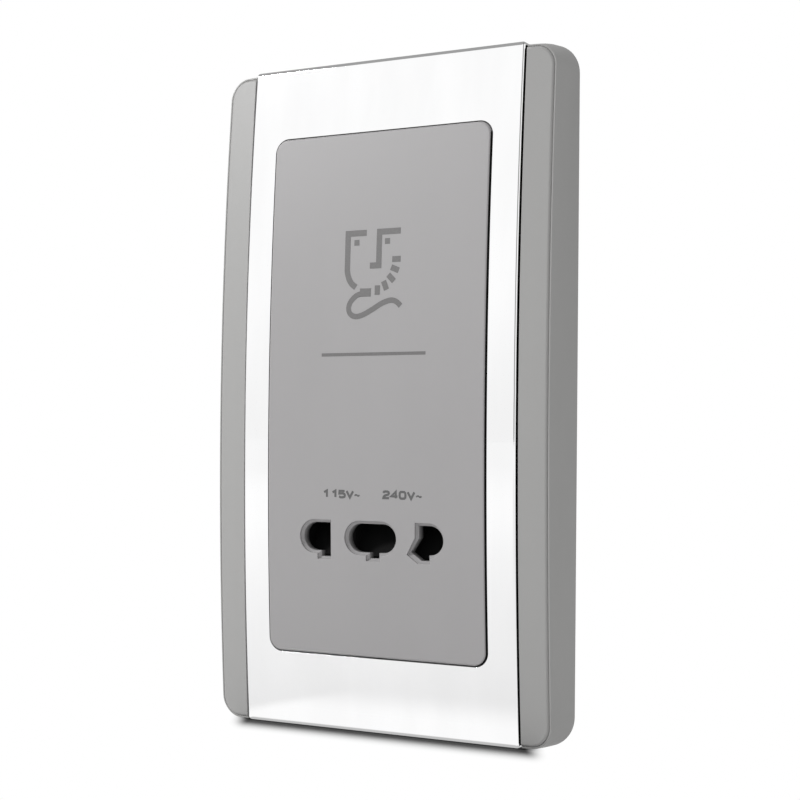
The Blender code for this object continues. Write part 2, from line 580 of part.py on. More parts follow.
def make_surround():
    """Moulded body: two wings, a bowed deck under the trim frame, and ribs and bosses behind."""
    wall_rows = round_rows(PLATE_WIDTH, PLATE_HEIGHT, PLATE_CORNER)
    crease_rows = round_rows(CREASE_WIDTH, CREASE_HEIGHT, CREASE_CORNER, CREASE_BULGE)
    body = slab("surround", crease_rows, wall_rows, wing_face(), level(0), CREASE_ROUND)

    channel = TRIM_WIDTH + 2 * TRIM_GROOVE
    channel_floor = TRIM_FLANGE + SEAT
    past = PLATE_HEIGHT / 2 + OVER
    channel_rows = block_rows(-channel / 2, channel / 2, -past, past)
    inner_wall = round_rows(PLATE_WIDTH - 2 * WALL, PLATE_HEIGHT - 2 * WALL, PLATE_CORNER - WALL)
    inner_front = round_rows(CREASE_WIDTH - 2 * WALL, CREASE_HEIGHT - 2 * WALL,
                             CREASE_CORNER - WALL)
    hollows = [slab("surround_channel", channel_rows, channel_rows,
                    bowed(-OVER), bowed(channel_floor)),
               slab("surround_hollow", inner_front, inner_wall,
                    bowed(channel_floor + DECK), level(OVER))]
    pocket_end = PLATE_HEIGHT / 2 - PLATE_CORNER - WALL
    for side in (-1, 1):
        span = sorted((side * (channel / 2 + DECK), side * (CREASE_WIDTH / 2 - WALL - SEAT)))
        rows = block_rows(*span, -pocket_end, pocket_end)
        hollows.append(slab(f"surround_wing_hollow_{side}", rows, rows,
                            wing_face(WALL), bowed(channel_floor + DECK + OVER / 4)))
    cut(body, *hollows)

    deck_front = TRIM_SKIN + SEAT
    deck_back = deck_front + DECK
    deck_width = TRIM_WIDTH - 2 * deck_front
    deck_height = PLATE_HEIGHT - 2 * deck_front
    deck = round_rows(deck_width, deck_height, TRIM_CORNER)
    under_deck = round_rows(deck_width - 2 * DECK, deck_height - 2 * DECK, TRIM_CORNER)
    join(body, slab("surround_deck", deck, deck, bowed(deck_front), bowed(channel_floor + BITE)))
    cut(body, slab("surround_deck_hollow", under_deck, under_deck,
                   bowed(deck_back), bowed(channel_floor + DECK + OVER)))

    collar_width = DECK_WIDTH + 2 * COLLAR_RIB
    collar = round_rows(collar_width, DECK_HEIGHT + 2 * COLLAR_RIB, OPENING_CORNER + COLLAR_RIB)
    added = [slab("surround_collar", collar, collar,
                  bowed(deck_back - BITE), level(FLANGE_FRONT_Y - SEAT))]
    for side in (-1, 1):
        centre = (0, side * FIXING_CENTRES / 2)
        added.append(cylinder(f"surround_fixing_boss_{side}", centre, FIXING_BOSS,
                              bowed(deck_back - BITE)(centre[1] + side * FIXING_BOSS), 0))
        inner_edge = side * (collar_width / 2 - BITE)
        front_span = sorted((inner_edge, side * CREASE_WIDTH / 2))
        back_span = sorted((inner_edge, side * (PLATE_WIDTH / 2 - WALL)))
        for index in range(RIB_COUNT):
            z = (index - (RIB_COUNT - 1) / 2) * RIB_SPACING
            added.append(slab(f"surround_rib_{side}_{index}",
                              block_rows(*front_span, z - RIB / 2, z + RIB / 2, 1),
                              block_rows(*back_span, z - RIB / 2, z + RIB / 2, 1),
                              bowed(channel_floor + BITE), level(FLANGE_FRONT_Y - 2 * SEAT)))
    join(body, *added)

    opening = round_rows(DECK_WIDTH, DECK_HEIGHT, OPENING_CORNER)
    holes = [slab("surround_opening", opening, opening, bowed(-OVER), level(OVER))]
    for side in (-1, 1):
        centre = (0, side * FIXING_CENTRES / 2)
        holes.append(cylinder(f"surround_counterbore_{side}", centre, FIXING_HEAD + SEAT,
                              bowed(-OVER)(0), FIXING_SEAT_Y))
        half = FIXING_RADIUS + SEAT
        slot = (arc(-FIXING_SLOT / 2, centre[1], half, 90, 270)
                + arc(FIXING_SLOT / 2, centre[1], half, -90, 90))
        holes.append(prism(f"surround_fixing_slot_{side}", slot, "Y", FIXING_SEAT_Y - OVER, OVER))
    for side, x, z in tab_places():
        span = sorted((x - side * (TRIM_SKIN - TAB_INSET + SEAT), x - side * (TAB_INSET - SEAT)))
        holes.append(box(f"surround_tab_slot_{side}_{z:.3f}", span,
                         (bowed(TRIM_FLANGE)(z), bowed(channel_floor + DECK + OVER)(z)),
                         (z - TAB_LENGTH / 2 - SEAT, z + TAB_LENGTH / 2 + SEAT)))
    cut(body, *holes)
    return finish(body, material("grey_body", (0.46, 0.46, 0.45), 0.45))


def tab_places():
    """Side, outer x and z of each snap tab on the trim frame's long flanges."""
    places = []
    for side in (-1, 1):
        for index in range(TAB_COUNT):
            z = (index - (TAB_COUNT - 1) / 2) * TAB_SPACING
            places.append((side, side * TRIM_WIDTH / 2, z))
    return places


def make_trim_frame():
    """Bright bowed shell with a flange all round, a large opening and snap tabs."""
    outer = round_rows(TRIM_WIDTH, PLATE_HEIGHT, TRIM_CORNER)
    frame = slab("trim_frame", outer, outer, bowed(), bowed(TRIM_FLANGE), TRIM_ROUND)
    inner = round_rows(TRIM_WIDTH - 2 * TRIM_SKIN, PLATE_HEIGHT - 2 * TRIM_SKIN, TRIM_CORNER / 2)
    opening = round_rows(TRIM_OPENING_WIDTH, TRIM_OPENING_HEIGHT, TRIM_OPENING_CORNER)
    cut(frame,
        slab("trim_frame_inside", inner, inner, bowed(TRIM_SKIN), bowed(TRIM_FLANGE + OVER)),
        slab("trim_frame_opening", opening, opening, bowed(-OVER), bowed(TRIM_FLANGE)))
    tabs = []
    for side, x, z in tab_places():
        span = sorted((x - side * TAB_INSET, x - side * (TRIM_SKIN - TAB_INSET)))
        tabs.append(box(f"trim_frame_tab_{side}_{z:.3f}", span,
                        (bowed(TRIM_FLANGE - BITE)(z), bowed(TRIM_FLANGE + TAB_DEPTH)(z)),
                        (z - TAB_LENGTH / 2, z + TAB_LENGTH / 2)))
    join(frame, *tabs)
    return finish(frame, material("bright_plating", (0.9, 0.9, 0.9), 0.08, 1.0))


def make_panel():
    """Bowed grey panel with its locating wall, a collar behind each opening, and screw bosses."""
    outline = round_rows(PANEL_WIDTH, PANEL_HEIGHT, PANEL_CORNER)
    panel = slab("socket_panel", outline, outline, bowed(-PANEL_PROUD), bowed(PANEL_LIP),
                 PANEL_ROUND)
    step = round_rows(LOCATING_WIDTH, LOCATING_HEIGHT, OPENING_CORNER - SIDE_ROOM)
    hollow = round_rows(LOCATING_WIDTH - 2 * LOCATING_WALL, LOCATING_HEIGHT - 2 * LOCATING_WALL,
                        OPENING_CORNER / 2)
    wall = slab("panel_locating_wall", step, step, bowed(PANEL_LIP - BITE), bowed(LOCATING_DEPTH))
    join(panel, wall)
    cut(panel, slab("panel_hollow", hollow, hollow,
                    bowed(SKIN_BACK), bowed(LOCATING_DEPTH + OVER)))
    added, holes = [], []
    for which in OPENING_SPANS:
        added.append(prism(f"panel_collar_{which}", opening_outline(which, COLLAR_WALL), "Y",
                           bowed(SKIN_BACK - 2 * BITE)(NOTCH_LOW_Z), COLLAR_BACK_Y))
        holes.append(prism(f"panel_opening_{which}", opening_outline(which), "Y",
                           bowed(-OVER)(0), COLLAR_BACK_Y + OVER))
    for x in mirrored(HOUSING_SCREW_X):
        for z in mirrored(HOUSING_SCREW_Z):
            place = f"{x:.3f}_{z:.3f}"
            foot = SHUTTER_BACK_Y if z < 0 else CARRIER_BACK_Y
            root = bowed(SKIN_BACK - BITE)(z + math.copysign(BOSS_RADIUS, z))
            added.append(cylinder(f"panel_boss_{place}", (x, z), BOSS_RADIUS, root, foot))
            holes.append(cylinder(f"panel_pilot_{place}", (x, z), HOUSING_SCREW_RADIUS + SEAT,
                                  bowed(SKIN_BACK)(z) + SEAT, foot + OVER))
    join(panel, *added)
    cut(panel, *holes)
    return finish(panel, material("grey_panel", (0.37, 0.36, 0.36), 0.42))


def ramp_y_z(share):
    """A place on the ramps: 0 is their foot at the front, 1 their top at the back."""
    foot, top = NOTCH_LOW_Z - SEAT, PIN_TOP_Z + SEAT
    return (SHUTTER_FRONT_Y + share * (SHUTTER_BACK_Y - SHUTTER_FRONT_Y),
            foot + share * (top - foot))


def make_shutter():
    """Black slide: a window with a ramped sill behind each opening, spring pockets and a cam."""
    plate_y = SHUTTER_BACK_Y - SHUTTER_PLATE
    low_z = ramp_y_z(0)[1] - RAMP_SILL
    top_of_ramp = ramp_y_z(1)[1]
    shutter = box("shutter", mirrored(SHUTTER_WIDTH / 2), (plate_y, SHUTTER_BACK_Y),
                  (SIDE_BAR_LOW_Z, SHUTTER_TOP_Z))
    join(shutter, box("shutter_ramp_block", mirrored(RAMP_WIDTH / 2),
                      (SHUTTER_FRONT_Y, SHUTTER_BACK_Y), (low_z, top_of_ramp)))
    holes = []
    window_top = top_of_ramp + SHUTTER_TRAVEL
    before, after = ramp_y_z(-0.3), ramp_y_z(1.3)
    for which, (low_x, high_x) in OPENING_SPANS.items():
        profile = [before, after, (after[0], window_top), (before[0], window_top)]
        holes.append(prism(f"shutter_window_{which}", profile, "X",
                           low_x + WINDOW_INSET, high_x - WINDOW_INSET))
    for x in mirrored(SPRING_X):
        holes.append(box(f"shutter_spring_pocket_{x:.3f}", (x - HALF_POCKET, x + HALF_POCKET),
                         (SHUTTER_BACK_Y - SPRING_POCKET_DEPTH, SHUTTER_BACK_Y + OVER),
                         (SPRING_SEAT_Z - LUG_HEIGHT - GUIDE, SPRING_TOP_Z)))
    slope = PLUNGER_TRAVEL / SHUTTER_TRAVEL
    groove_low = SWITCH_Z - PLUNGER_HEIGHT / 2 - GUIDE
    groove_high = SWITCH_Z + SHUTTER_TRAVEL + PLUNGER_HEIGHT / 2 + GUIDE
    floor = [(PLUNGER_TIP_Y - GUIDE + slope * (z - SWITCH_Z), z) for z in (groove_low, groove_high)]
    profile = floor + [(SHUTTER_BACK_Y + OVER, groove_high), (SHUTTER_BACK_Y + OVER, groove_low)]
    holes.append(prism("shutter_cam_groove", profile, "X", *mirrored(PLUNGER_WIDTH / 2 + GUIDE)))
    cut(shutter, *holes)
    return finish(shutter, material("black_slide", (0.02, 0.02, 0.02), 0.4))


def make_spring(name, x):
    """Open coil between the shutter's pocket and the carrier's lug."""
    curve = bpy.data.curves.new(name, "CURVE")
    curve.dimensions = "3D"
    curve.bevel_depth = SPRING_WIRE
    curve.bevel_resolution = 1
    curve.use_fill_caps = True
    per_turn = CIRCLE_STEPS // 2 - 2
    count = SPRING_TURNS * per_turn
    low = SPRING_SEAT_Z + SEAT + SPRING_WIRE
    high = SPRING_TOP_Z - SEAT - SPRING_WIRE
    spline = curve.splines.new("POLY")
    spline.points.add(count)
    centre_y = SHUTTER_BACK_Y - SPRING_POCKET_DEPTH / 2
    for index, point in enumerate(spline.points):
        turn = 2 * math.pi * index / per_turn
        point.co = (x + SPRING_RADIUS * math.cos(turn), centre_y + SPRING_RADIUS * math.sin(turn),
                    low + (high - low) * index / count, 1.0)
    spring = bpy.data.objects.new(name, curve)
    bpy.context.collection.objects.link(spring)
    return finish(spring, material(name + "_wire", (0.7, 0.7, 0.7), 0.3, 1.0))


def make_carrier():
    """Insulating carrier: guide rails in front, contact chambers and switch walls behind."""
    carrier = box("contact_carrier", mirrored(CARRIER_WIDTH / 2),
                  (CARRIER_FRONT_Y, CARRIER_BACK_Y), (CARRIER_LOW_Z, CARRIER_TOP_Z))
    added = [box("carrier_block", mirrored(BLOCK_WIDTH / 2),
                 (CARRIER_BACK_Y - BITE, BLOCK_BACK_Y), (BLOCK_LOW_Z, BLOCK_TOP_Z))]
    holes = []
    lug_half = SPRING_RADIUS - SPRING_WIRE
    for side in (-1, 1):
        rail = side * (SHUTTER_WIDTH / 2 + GUIDE)
        span = sorted((rail, rail + side * RAIL))
        added.append(box(f"carrier_rail_{side}", span, (RAIL_FRONT_Y, CARRIER_FRONT_Y + BITE),
                         (RAIL_LOW_Z, CARRIER_TOP_Z - BITE)))
        x = side * SPRING_X
        added.append(box(f"carrier_lug_{side}", (x - lug_half, x + lug_half),
                         (SHUTTER_BACK_Y - SPRING_POCKET_DEPTH + GUIDE, CARRIER_FRONT_Y + BITE),
                         (SPRING_SEAT_Z - LUG_HEIGHT, SPRING_SEAT_Z)))
        span = sorted((side * (SWITCH_WIDTH / 2 + GUIDE), side * (SWITCH_WIDTH / 2 + RIB + GUIDE)))
        added.append(box(f"carrier_switch_wall_{side}", span,
                         (CARRIER_BACK_Y - BITE, CARRIER_BACK_Y + SWITCH_WALL_REACH),
                         (SWITCH_Z - SWITCH_HEIGHT / 2, SWITCH_Z + SWITCH_HEIGHT / 2)))
        holes.append(cylinder(f"carrier_screw_hole_{side}",
                              (side * HOUSING_SCREW_X, -HOUSING_SCREW_Z),
                              HOUSING_SCREW_RADIUS + SEAT, -OVER, CARRIER_BACK_Y + OVER))
    for which, (low_x, high_x) in OPENING_SPANS.items():
        holes.append(box(f"carrier_chamber_{which}", (low_x, high_x),
                         (CARRIER_FRONT_Y - OVER, BLOCK_BACK_Y - BLOCK_REAR_WALL),
                         (NOTCH_LOW_Z - SEAT, PIN_TOP_Z + SEAT)))
        x = (low_x + high_x) / 2
        holes.append(box(f"carrier_tail_slot_{which}",
                         (x - TAIL_WIDTH / 2 - SEAT, x + TAIL_WIDTH / 2 + SEAT),
                         (BLOCK_BACK_Y - BLOCK_REAR_WALL - BITE, BLOCK_BACK_Y + OVER),
                         (BLOCK_MID_Z - STRIP / 2 - SEAT, BLOCK_MID_Z + STRIP / 2 + SEAT)))
    holes.append(box("carrier_plunger_hole", mirrored(PLUNGER_WIDTH / 2 + GUIDE),
                     (CARRIER_FRONT_Y - OVER, CARRIER_BACK_Y + OVER),
                     (SWITCH_Z - PLUNGER_HEIGHT / 2 - GUIDE, SWITCH_Z + PLUNGER_HEIGHT / 2 + GUIDE)))
    join(carrier, *added)
    cut(carrier, *holes)
    return finish(carrier, material("cream_insulator", (0.75, 0.72, 0.64), 0.5))


def make_contact(name, which):
    """Forked spring contact that grips a pin from above and below, with a tail for its lead."""
    low_x, high_x = OPENING_SPANS[which]
    root_y = BLOCK_BACK_Y - BLOCK_REAR_WALL - SEAT - STRIP / 2
    mouth_y = CARRIER_FRONT_Y + SEAT
    pinch_y = mouth_y + (root_y - mouth_y) * 0.3
    half = [(mouth_y, CONTACT_ROOT - CONTACT_FLARE), (pinch_y, CONTACT_GRIP / 2),
            (root_y, CONTACT_ROOT)]
    path = [(y, BLOCK_MID_Z + z) for y, z in half] + [(y, BLOCK_MID_Z - z) for y, z in half[::-1]]
    contact = strip(name, path, low_x + SEAT, high_x - SEAT)
    x = (low_x + high_x) / 2
    tail = box(name + "_tail", (x - TAIL_WIDTH / 2, x + TAIL_WIDTH / 2), (root_y, TAIL_END_Y),
               (BLOCK_MID_Z - STRIP / 2, BLOCK_MID_Z + STRIP / 2))
    join(contact, tail)
    return finish(contact, material(name + "_bronze", (0.72, 0.5, 0.25), 0.3, 1.0))


def make_switch():
    """Small switch behind the carrier, and the plunger that the shutter's cam pushes in."""
    low_y = CARRIER_BACK_Y + SEAT
    body = box("switch_body", mirrored(SWITCH_WIDTH / 2), (low_y, low_y + SWITCH_DEPTH),
               (SWITCH_Z - SWITCH_HEIGHT / 2, SWITCH_Z + SWITCH_HEIGHT / 2))
    join(body, *[box(f"switch_terminal_{x:.3f}", (x - STRIP, x + STRIP),
                     (low_y + SWITCH_DEPTH - BITE, low_y + SWITCH_DEPTH + SWITCH_TERMINAL),
                     (SWITCH_Z - TAIL_WIDTH / 2, SWITCH_Z + TAIL_WIDTH / 2))
                 for x in mirrored(SWITCH_TERMINAL_X)])
    cut(body, box("switch_bore", mirrored(PLUNGER_WIDTH / 2 + GUIDE),
                  (low_y - OVER, PLUNGER_END_Y + PLUNGER_TRAVEL + GUIDE),
                  (SWITCH_Z - PLUNGER_HEIGHT / 2 - GUIDE, SWITCH_Z + PLUNGER_HEIGHT / 2 + GUIDE)))
    finish(body, material("black_switch", (0.03, 0.03, 0.03), 0.5))

    half = PLUNGER_HEIGHT / 2
    ease = half / 2
    profile = [(PLUNGER_TIP_Y, SWITCH_Z - half + ease), (PLUNGER_TIP_Y, SWITCH_Z + half - ease),
               (PLUNGER_TIP_Y + ease, SWITCH_Z + half), (PLUNGER_END_Y, SWITCH_Z + half),
               (PLUNGER_END_Y, SWITCH_Z - half), (PLUNGER_TIP_Y + ease, SWITCH_Z - half)]
    plunger = prism("switch_plunger", profile, "X", *mirrored(PLUNGER_WIDTH / 2))
    set_origin(plunger, (0, PLUNGER_TIP_Y, SWITCH_Z))
    finish(plunger, material("red_plunger", (0.5, 0.05, 0.04), 0.4))


def make_rear_housing():
    """Deep box with a front flange, screw columns, core posts, vents and the terminal bay."""
    half = HOUSING_HEIGHT / 2
    outer = [(FLANGE_FRONT_Y, -half), (BAY_FLOOR_Y, -half), (BAY_FLOOR_Y, BAY_TOP_Z),
             (HOUSING_BACK_Y, BAY_TOP_Z), (HOUSING_BACK_Y, half), (FLANGE_FRONT_Y, half)]
    housing = prism("rear_housing", outer, "X", *mirrored(HOUSING_WIDTH / 2))
    rounding = housing.modifiers.new("edges", "BEVEL")
    rounding.width = HOUSING_ROUND
    rounding.segments = ROUND_STEPS
    flange = round_rows(HOUSING_WIDTH + 2 * FLANGE_WIDTH, HOUSING_HEIGHT + 2 * FLANGE_WIDTH,
                        FLANGE_WIDTH)
    join(housing, slab("housing_flange", flange, flange, level(FLANGE_FRONT_Y - BITE / 4),
                       level(FLANGE_FRONT_Y + FLANGE_THICK)))
    deep = HOUSING_WALL
    inner = [(FLANGE_FRONT_Y - OVER, deep - half), (BAY_FLOOR_Y - deep, deep - half),
             (BAY_FLOOR_Y - deep, BAY_TOP_Z + deep), (HOUSING_BACK_Y - deep, BAY_TOP_Z + deep),
             (HOUSING_BACK_Y - deep, half - deep), (FLANGE_FRONT_Y - OVER, half - deep)]
    cut(housing, prism("housing_inside", inner, "X", *mirrored(INNER_WIDTH / 2)))

    added, holes = [], []
    column_top = CARRIER_BACK_Y + SEAT
    into_back = HOUSING_BACK_Y - HOUSING_WALL + BITE
    for x in mirrored(HOUSING_SCREW_X):
        for z in mirrored(HOUSING_SCREW_Z):
            back = BAY_FLOOR_Y if z < 0 else HOUSING_BACK_Y
            place = f"{x:.3f}_{z:.3f}"
            added.append(cylinder(f"housing_column_{place}", (x, z), COLUMN_RADIUS,
                                  column_top, back - HOUSING_WALL + BITE))
            holes.append(cylinder(f"housing_counterbore_{place}", (x, z),
                                  HOUSING_SCREW_HEAD + SEAT, HOUSING_SCREW_SEAT_Y, back + OVER))
            holes.append(cylinder(f"housing_screw_hole_{place}", (x, z),
                                  HOUSING_SCREW_RADIUS + SEAT, column_top - OVER,
                                  HOUSING_SCREW_SEAT_Y + BITE))
    post_top = CORE_CENTRE_Y + CORE_STACK / 2 + SEAT
    for x, z in core_screw_places():
        place = f"{x:.3f}_{z:.3f}"
        added.append(cylinder(f"housing_post_{place}", (x, z), CORE_POST_RADIUS,
                              post_top, into_back))
        holes.append(cylinder(f"housing_pilot_{place}", (x, z), CORE_SCREW_RADIUS + SEAT,
                              post_top - OVER, HOUSING_BACK_Y - HOUSING_WALL - SEAT))
    for side in (-1, 1):
        span = sorted((side * (CARRIER_WIDTH / 2 - RIB), side * (INNER_WIDTH / 2 + BITE)))
        for z in (SIDE_BAR_LOW_Z, CARRIER_TOP_Z - 2 * RIB):
            added.append(box(f"housing_ledge_{side}_{z:.3f}", span, (column_top, into_back),
                             (z - RIB / 2, z + RIB / 2)))
        near = side * (TERMINAL_BLOCK_WIDTH / 2 + SEAT)
        added.append(box(f"housing_block_clip_{side}", sorted((near, near + side * CLIP_WALL)),
                         (BAY_FLOOR_Y - BITE, BAY_FLOOR_Y + TERMINAL_BLOCK_DEPTH / 2),
                         (TERMINAL_BLOCK_LOW_Z + RIB, BAY_TOP_Z - 2 * RIB)))
    for index in range(VENT_COUNT):
        x = (index - (VENT_COUNT - 1) / 2) * VENT_SPACING
        holes.append(box(f"housing_vent_{index}", (x - VENT_WIDTH / 2, x + VENT_WIDTH / 2),
                         (HOUSING_BACK_Y - HOUSING_WALL - SEAT, HOUSING_BACK_Y + OVER),
                         (CORE_CENTRE_Z - VENT_LENGTH / 2, CORE_CENTRE_Z + VENT_LENGTH / 2)))
    for x in terminal_places():
        holes.append(box(f"housing_tag_slot_{x:.3f}",
                         (x - TAIL_WIDTH / 2 - SEAT, x + TAIL_WIDTH / 2 + SEAT),
                         (BAY_FLOOR_Y - 2 * HOUSING_WALL, BAY_FLOOR_Y + OVER / 2),
                         (TAG_Z - STRIP / 2 - SEAT, TAG_Z + STRIP / 2 + SEAT)))
    join(housing, *added)
    cut(housing, *holes)
    return finish(housing, material("dark_housing", (0.05, 0.05, 0.055), 0.5))


def core_screw_places():
    """Centres (x, z) of the four screws through the core's corners."""
    x = 2.5 * CORE_UNIT
    z = 2 * CORE_UNIT
    return [(side * x, CORE_CENTRE_Z + end * z) for side in (-1, 1) for end in (-1, 1)]


def make_core():
    """Laminated core: an E with three legs pointing up, closed by an I."""
    unit = CORE_UNIT
    low_y = CORE_CENTRE_Y - CORE_STACK / 2
    high_y = CORE_CENTRE_Y + CORE_STACK / 2
    foot = CORE_CENTRE_Z - 2.5 * unit
    yoke = foot + unit
    top = foot + 4 * unit
    outline = [(-3 * unit, foot), (3 * unit, foot), (3 * unit, top), (2 * unit, top),
               (2 * unit, yoke), (unit, yoke), (unit, top), (-unit, top),
               (-unit, yoke), (-2 * unit, yoke), (-2 * unit, top), (-3 * unit, top)]
    e_core = prism("e_core", outline, "Y", low_y, high_y)
    i_core = box("i_core", mirrored(3 * unit), (low_y, high_y), (top + SEAT, top + unit))
    for piece, end in ((e_core, -1), (i_core, 1)):
        cut(piece, *[cylinder(f"core_hole_{x:.3f}_{z:.3f}", (x, z), CORE_SCREW_RADIUS + SEAT,
                              low_y - OVER, high_y + OVER)
                     for x, z in core_screw_places() if (z - CORE_CENTRE_Z) * end > 0])
    finish(e_core, material("lamination", (0.28, 0.28, 0.3), 0.45, 0.8))
    finish(i_core, material("lamination_bar", (0.28, 0.28, 0.3), 0.45, 0.8))


def coil_outline(x_size, y_size, corner):
    """Rounded rectangle (x, y) about the core's centre leg."""
    points = []
    for sign_x, sign_y, start in ((1, 1, 0), (-1, 1, 90), (-1, -1, 180), (1, -1, 270)):
        points += arc(sign_x * (x_size / 2 - corner), CORE_CENTRE_Y + sign_y * (y_size / 2 - corner),
                      corner, start, start + 90, 3)
    return points


def make_coil():
    """Split bobbin on the centre leg, with a winding in each half."""
    unit = CORE_UNIT
    bore_x = 2 * unit + 2 * SEAT
    bore_y = CORE_STACK + 2 * SEAT
    low = CORE_CENTRE_Z - 1.5 * unit + SEAT
    high = CORE_CENTRE_Z + 1.5 * unit - SEAT
    tube_x = bore_x + 2 * BOBBIN_WALL
    tube_y = bore_y + 2 * BOBBIN_WALL
    flange_x = bore_x + 2 * WINDING_REACH
    flange_y = COIL_DEPTH
    bobbin = prism("bobbin", coil_outline(tube_x, tube_y, BOBBIN_WALL / 2), "Z", low, high)
    middle = (low + high) / 2
    floors = (low, middle - BOBBIN_WALL / 2, high - BOBBIN_WALL)
    join(bobbin, *[prism(f"bobbin_flange_{index}", coil_outline(flange_x, flange_y, BOBBIN_WALL),
                         "Z", floor, floor + BOBBIN_WALL) for index, floor in enumerate(floors)])
    cut(bobbin, box("bobbin_bore", mirrored(bore_x / 2),
                    (CORE_CENTRE_Y - bore_y / 2, CORE_CENTRE_Y + bore_y / 2),
                    (low - OVER, high + OVER)))
    finish(bobbin, material("bobbin_nylon", (0.8, 0.78, 0.7), 0.5))
    sections = zip(("primary_winding", "secondary_winding"), floors[:2], floors[1:])
    for name, floor, ceiling in sections:
        low_z = floor + BOBBIN_WALL + SEAT
        high_z = ceiling - SEAT
        winding = prism(name, coil_outline(flange_x - 2 * SEAT, flange_y - 2 * SEAT, WINDING_ROUND),
                        "Z", low_z, high_z)
        cut(winding, prism(name + "_bore", coil_outline(tube_x + 2 * SEAT, tube_y + 2 * SEAT,
                                                        BOBBIN_WALL), "Z",
                           low_z - OVER, high_z + OVER))
        finish(winding, material(name + "_wire", (0.55, 0.25, 0.1), 0.35, 0.6))
    centre_z = (floors[0] + BOBBIN_WALL + floors[1]) / 2
    cutout = box("thermal_cutout", mirrored(CUTOUT_WIDTH / 2),
                 (COIL_FRONT_Y - CUTOUT_DEPTH, COIL_FRONT_Y),
                 (centre_z - CUTOUT_HEIGHT / 2, centre_z + CUTOUT_HEIGHT / 2))
    rounding = cutout.modifiers.new("edges", "BEVEL")
    rounding.width = STRIP
    rounding.segments = ROUND_STEPS
    finish(cutout, material("cutout_case", (0.1, 0.1, 0.1), 0.4))


def terminal_places():
    return [(index - 1) * TERMINAL_SPACING for index in range(3)]


def make_terminals():
    """Terminal block in the rear bay, with a clamp and a screw for each conductor."""
    front = BAY_FLOOR_Y + SEAT
    back = front + TERMINAL_BLOCK_DEPTH
    block = box("terminal_block", mirrored(TERMINAL_BLOCK_WIDTH / 2), (front, back),
                (TERMINAL_BLOCK_LOW_Z, TERMINAL_BLOCK_TOP_Z))
    clamp_front = front + CLAMP_WALL + SEAT
    clamp_back = clamp_front + CLAMP_DEPTH
    clamp_low = TERMINAL_BLOCK_LOW_Z + RIB
    clamp_high = clamp_low + CLAMP_HEIGHT
    holes = []
    names = dict(zip(("live", "earth", "neutral"), terminal_places()))
    for name, x in names.items():
        half = CLAMP_WIDTH / 2
        half_tag = TAIL_WIDTH / 2
        holes.append(box(f"block_chamber_{name}", (x - half - SEAT, x + half + SEAT),
                         (clamp_front - SEAT, clamp_back + SEAT),
                         (TERMINAL_BLOCK_LOW_Z - OVER, clamp_high + SEAT)))
        holes.append(cylinder(f"block_screw_bore_{name}", (x, TERMINAL_Z),
                              TERMINAL_SCREW_HEAD + SEAT, clamp_back, back + OVER))
        holes.append(box(f"block_tag_slot_{name}", (x - half_tag - SEAT, x + half_tag + SEAT),
                         (front - OVER, clamp_front),
                         (TAG_Z - STRIP / 2 - SEAT, TAG_Z + STRIP / 2 + SEAT)))
        clamp = box(f"{name}_clamp", (x - half, x + half), (clamp_front, clamp_back),
                    (clamp_low, clamp_high))
        join(clamp, box(f"{name}_tag", (x - half_tag, x + half_tag),
                        (TAG_END_Y, clamp_front + STRIP / 2),
                        (TAG_Z - STRIP / 2, TAG_Z + STRIP / 2)))
        wire_y = clamp_front + STRIP + WIRE_RADIUS
        cut(clamp,
            prism(f"{name}_wire_hole", arc(x, wire_y, WIRE_RADIUS, 0, 337.5, 15), "Z",
                  clamp_low - OVER, clamp_high - STRIP),
            cylinder(f"{name}_thread", (x, TERMINAL_Z), TERMINAL_SCREW_RADIUS + SEAT,
                     wire_y, clamp_back + OVER))
        finish(clamp, material(f"{name}_brass", (0.75, 0.58, 0.3), 0.3, 1.0))
        made = screw(f"{name}_screw", (x, TERMINAL_Z), clamp_back + SEAT, 1, TERMINAL_SCREW_RADIUS,
                     TERMINAL_SCREW_HEAD, TERMINAL_SCREW_HEAD * 0.8, TERMINAL_SCREW_LENGTH)
        finish(made, material(f"{name}_screw_steel", (0.72, 0.7, 0.6), 0.3, 1.0))
    cut(block, *holes)
    return finish(block, material("block_insulator", (0.8, 0.8, 0.78), 0.45))


def make_screws():
    for name, end in (("fixing_screw_upper", 1), ("fixing_screw_lower", -1)):
        made = screw(name, (0, end * FIXING_CENTRES / 2), FIXING_SEAT_Y - SEAT, -1, FIXING_RADIUS,
                     FIXING_HEAD, FIXING_HEAD_HEIGHT, FIXING_LENGTH)
        finish(made, material(name + "_steel", (0.7, 0.7, 0.68), 0.3, 1.0))
    number = 0
    for x in mirrored(HOUSING_SCREW_X):
        for z in mirrored(HOUSING_SCREW_Z):
            number += 1
            made = screw(f"housing_screw_{number}", (x, z), HOUSING_SCREW_SEAT_Y + SEAT, 1,
                         HOUSING_SCREW_RADIUS, HOUSING_SCREW_HEAD, HOUSING_SCREW_HEAD * 0.8,
                         HOUSING_SCREW_SEAT_Y + SEAT - HOUSING_SCREW_TIP_Y)
            finish(made, material(f"housing_screw_{number}_steel", (0.6, 0.6, 0.6), 0.3, 1.0))
    core_seat_y = CORE_CENTRE_Y - CORE_STACK / 2 - SEAT
    core_tip_y = HOUSING_BACK_Y - HOUSING_WALL - SEAT - SCREW_TIP_ROOM
    for number, place in enumerate(core_screw_places(), 1):
        made = screw(f"core_screw_{number}", place, core_seat_y, -1, CORE_SCREW_RADIUS,
                     CORE_SCREW_HEAD, CORE_SCREW_HEAD * 0.7, core_tip_y - core_seat_y)
        finish(made, material(f"core_screw_{number}_steel", (0.6, 0.6, 0.6), 0.3, 1.0))


